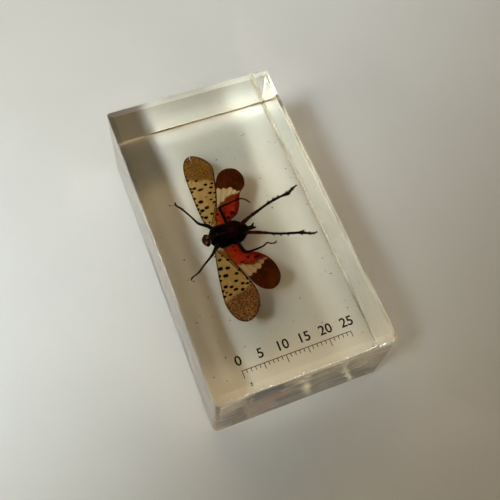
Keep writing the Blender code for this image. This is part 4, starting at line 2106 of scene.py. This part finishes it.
@dataclass(frozen=True)
class Lamp:
    """A round soft lamp with a cone, past whose border the floor is in shade.

    Angles are in degrees and sizes in mm. One that is for glints only is seen in the resin's polished
    edges and lights nothing else.
    """

    name: str
    bearing: float
    elevation: float
    distance: float
    radius: float
    power: float
    colour: Colour
    target: Point3
    cone: float
    softness: float
    glints_only: bool = False

    def hang(self) -> None:
        """Put the lamp in its place over the block, aimed at its target on the floor."""
        place = towards(self.bearing, self.elevation) * self.distance * MM
        lamp = bpy.data.lights.new(self.name, "SPOT")
        lamp.energy = self.power
        lamp.color = self.colour
        lamp.shadow_soft_size = self.radius * MM
        lamp.spot_size = math.radians(self.cone)
        lamp.spot_blend = self.softness
        holder = bpy.data.objects.new(self.name, lamp)
        bpy.context.scene.collection.objects.link(holder)
        holder.location = place
        holder.rotation_euler = (Vector(self.target) * MM - place).to_track_quat("-Z", "Y").to_euler()
        holder.visible_diffuse = holder.visible_transmission = not self.glints_only


@dataclass(frozen=True)
class Glow:
    """A round patch of the surround that is brighter than the rest, like a pale wall. Angles in degrees."""

    bearing: float
    elevation: float
    width: float
    core: float
    colour: Colour


@dataclass
class Studio:
    """The floor, the light and the camera, which aren't part of the object."""

    floor_size: float = 1600.0
    floor_gap: float = 0.03
    lamps: list[Lamp] = field(default_factory=lambda: [
        Lamp("window", 195.0, 53.0, 700.0, 78.0, 6.42, (0.965, 1.0, 0.871), FLOOR_LIT, 67.87, 0.251),
        Lamp("sky", 186.0, 59.0, 700.0, 62.0, 8.32, (0.715, 0.854, 1.0), FLOOR_LIT, 69.10, 0.244),
        Lamp("side", 182.0, 73.8, 520.6, 50.0, 4.41, (0.79, 0.938, 1.0), FLOOR_LEFT, 14.14, 1.0),
        Lamp("near_glint", 283.0, 24.0, 700.0, 70.0, 12.0, (1.0, 0.98, 0.86), NEAR_END, 16.0, 0.1, True),
        Lamp("left_glint", 154.0, 28.0, 700.0, 80.0, 16.0, (1.0, 0.99, 0.92), MIDDLE, 16.0, 0.1, True),
        Lamp("corner_glint", 222.0, 28.0, 700.0, 70.0, 12.0, (1.0, 0.99, 0.92), NEAR_END, 16.0, 0.1, True),
    ])
    glows: list[Glow] = field(default_factory=lambda: [
        Glow(85.0, 30.0, 27.0, 8.0, (0.93, 0.89, 0.85)),
        Glow(95.0, 44.0, 22.0, 4.0, (1.70, 1.12, 0.40)),
        Glow(45.0, 20.0, 32.0, 6.0, (1.30, 1.16, 0.90)),
        Glow(148.0, 13.0, 26.0, 8.0, (0.62, 0.60, 0.52)),
        Glow(217.0, 20.0, 24.0, 14.0, (0.80, 0.78, 0.66)),
        Glow(305.0, 69.0, 10.0, 6.0, (1.6, 1.3, 1.0)),
        Glow(283.0, 40.0, 8.0, 4.0, (1.65, 1.6, 1.2)),
    ])
    camera_place: Point3 = (-33.14, -66.09, 163.14)
    camera_right: Point3 = (0.92945, -0.36439, 0.05774)
    camera_up: Point3 = (0.30688, 0.85046, 0.42726)
    camera_back: Point3 = (-0.20479, -0.37940, 0.90228)
    lens: float = 52.35

    def lay_floor(self) -> None:
        """Lay a plain pale floor under the block."""
        clear_selection()
        place = (0.0, 0.0, -self.floor_gap * MM)
        bpy.ops.mesh.primitive_plane_add(size=self.floor_size * MM, location=place)
        floor = settle("floor")
        finish = PlainFinish("pale_paint", (0.75, 0.74, 0.71), (0.72, 0.71, 0.685), 0.02, 0.5)
        floor.data.materials.append(finish.material())

    def surround(self) -> None:
        """Make the surround dark, with soft glows in it that light the block and mirror in it."""
        world = bpy.data.worlds.new("surround")
        bpy.context.scene.world = world
        world.use_nodes = True
        tree = world.node_tree
        bearing = tree.nodes.new("ShaderNodeTexCoord").outputs["Generated"]
        total = None
        for glow in self.glows:
            nearness = tree.nodes.new("ShaderNodeVectorMath")
            nearness.operation = "DOT_PRODUCT"
            tree.links.new(bearing, nearness.inputs[0])
            nearness.inputs[1].default_value = towards(glow.bearing, glow.elevation)
            fade = tree.nodes.new("ShaderNodeMapRange")
            fade.interpolation_type = "SMOOTHSTEP"
            fade.inputs["From Min"].default_value = math.cos(math.radians(glow.width))
            fade.inputs["From Max"].default_value = math.cos(math.radians(glow.core))
            tree.links.new(nearness.outputs["Value"], fade.inputs["Value"])
            colour = tree.nodes.new("ShaderNodeVectorMath")
            colour.operation = "MULTIPLY_ADD"
            tree.links.new(fade.outputs["Result"], colour.inputs[0])
            colour.inputs[1].default_value = glow.colour
            if total:
                tree.links.new(total, colour.inputs[2])
            total = colour.outputs["Vector"]
        tree.links.new(total, tree.nodes["Background"].inputs["Color"])

    def set_camera(self) -> None:
        """Set the camera at the photograph's viewing angle."""
        lens = bpy.data.cameras.new("camera")
        lens.lens = self.lens
        lens.sensor_width = 36.0
        lens.clip_start = 0.01
        camera = bpy.data.objects.new("camera", lens)
        bpy.context.scene.collection.objects.link(camera)
        turn = Matrix((self.camera_right, self.camera_up, self.camera_back)).transposed()
        camera.matrix_world = Matrix.Translation(Vector(self.camera_place) * MM) @ turn.to_4x4()
        bpy.context.scene.camera = camera

    def build(self) -> None:
        """Set up the studio."""
        self.lay_floor()
        for lamp in self.lamps:
            lamp.hang()
        self.surround()
        self.set_camera()
        bpy.context.scene.view_settings.view_transform = "Standard"
        paths = bpy.context.scene.cycles
        paths.blur_glossy = 0.0
        paths.sample_clamp_indirect = 0.0
        paths.max_bounces = 20
        paths.glossy_bounces = 14
        paths.transmission_bounces = 20


def main() -> None:
    """Set up the studio, then build every piece in order."""
    logging.basicConfig(level=logging.INFO, format="%(name)s: %(message)s")
    low, high = CAD_BOX
    Studio().build()
    ResinBlock(low, high).build()
    Body().build()
    Head().build()
    for wing in (far_forewing(), near_forewing(), far_hindwing(), near_hindwing()):
        wing.build()
    for leg in legs():
        leg.build()
    Tail().build()
    WingHinges().build()
    ScalePrint().build()
    DustSpecks(low, high).build()


if __name__ == "__main__":
    main()
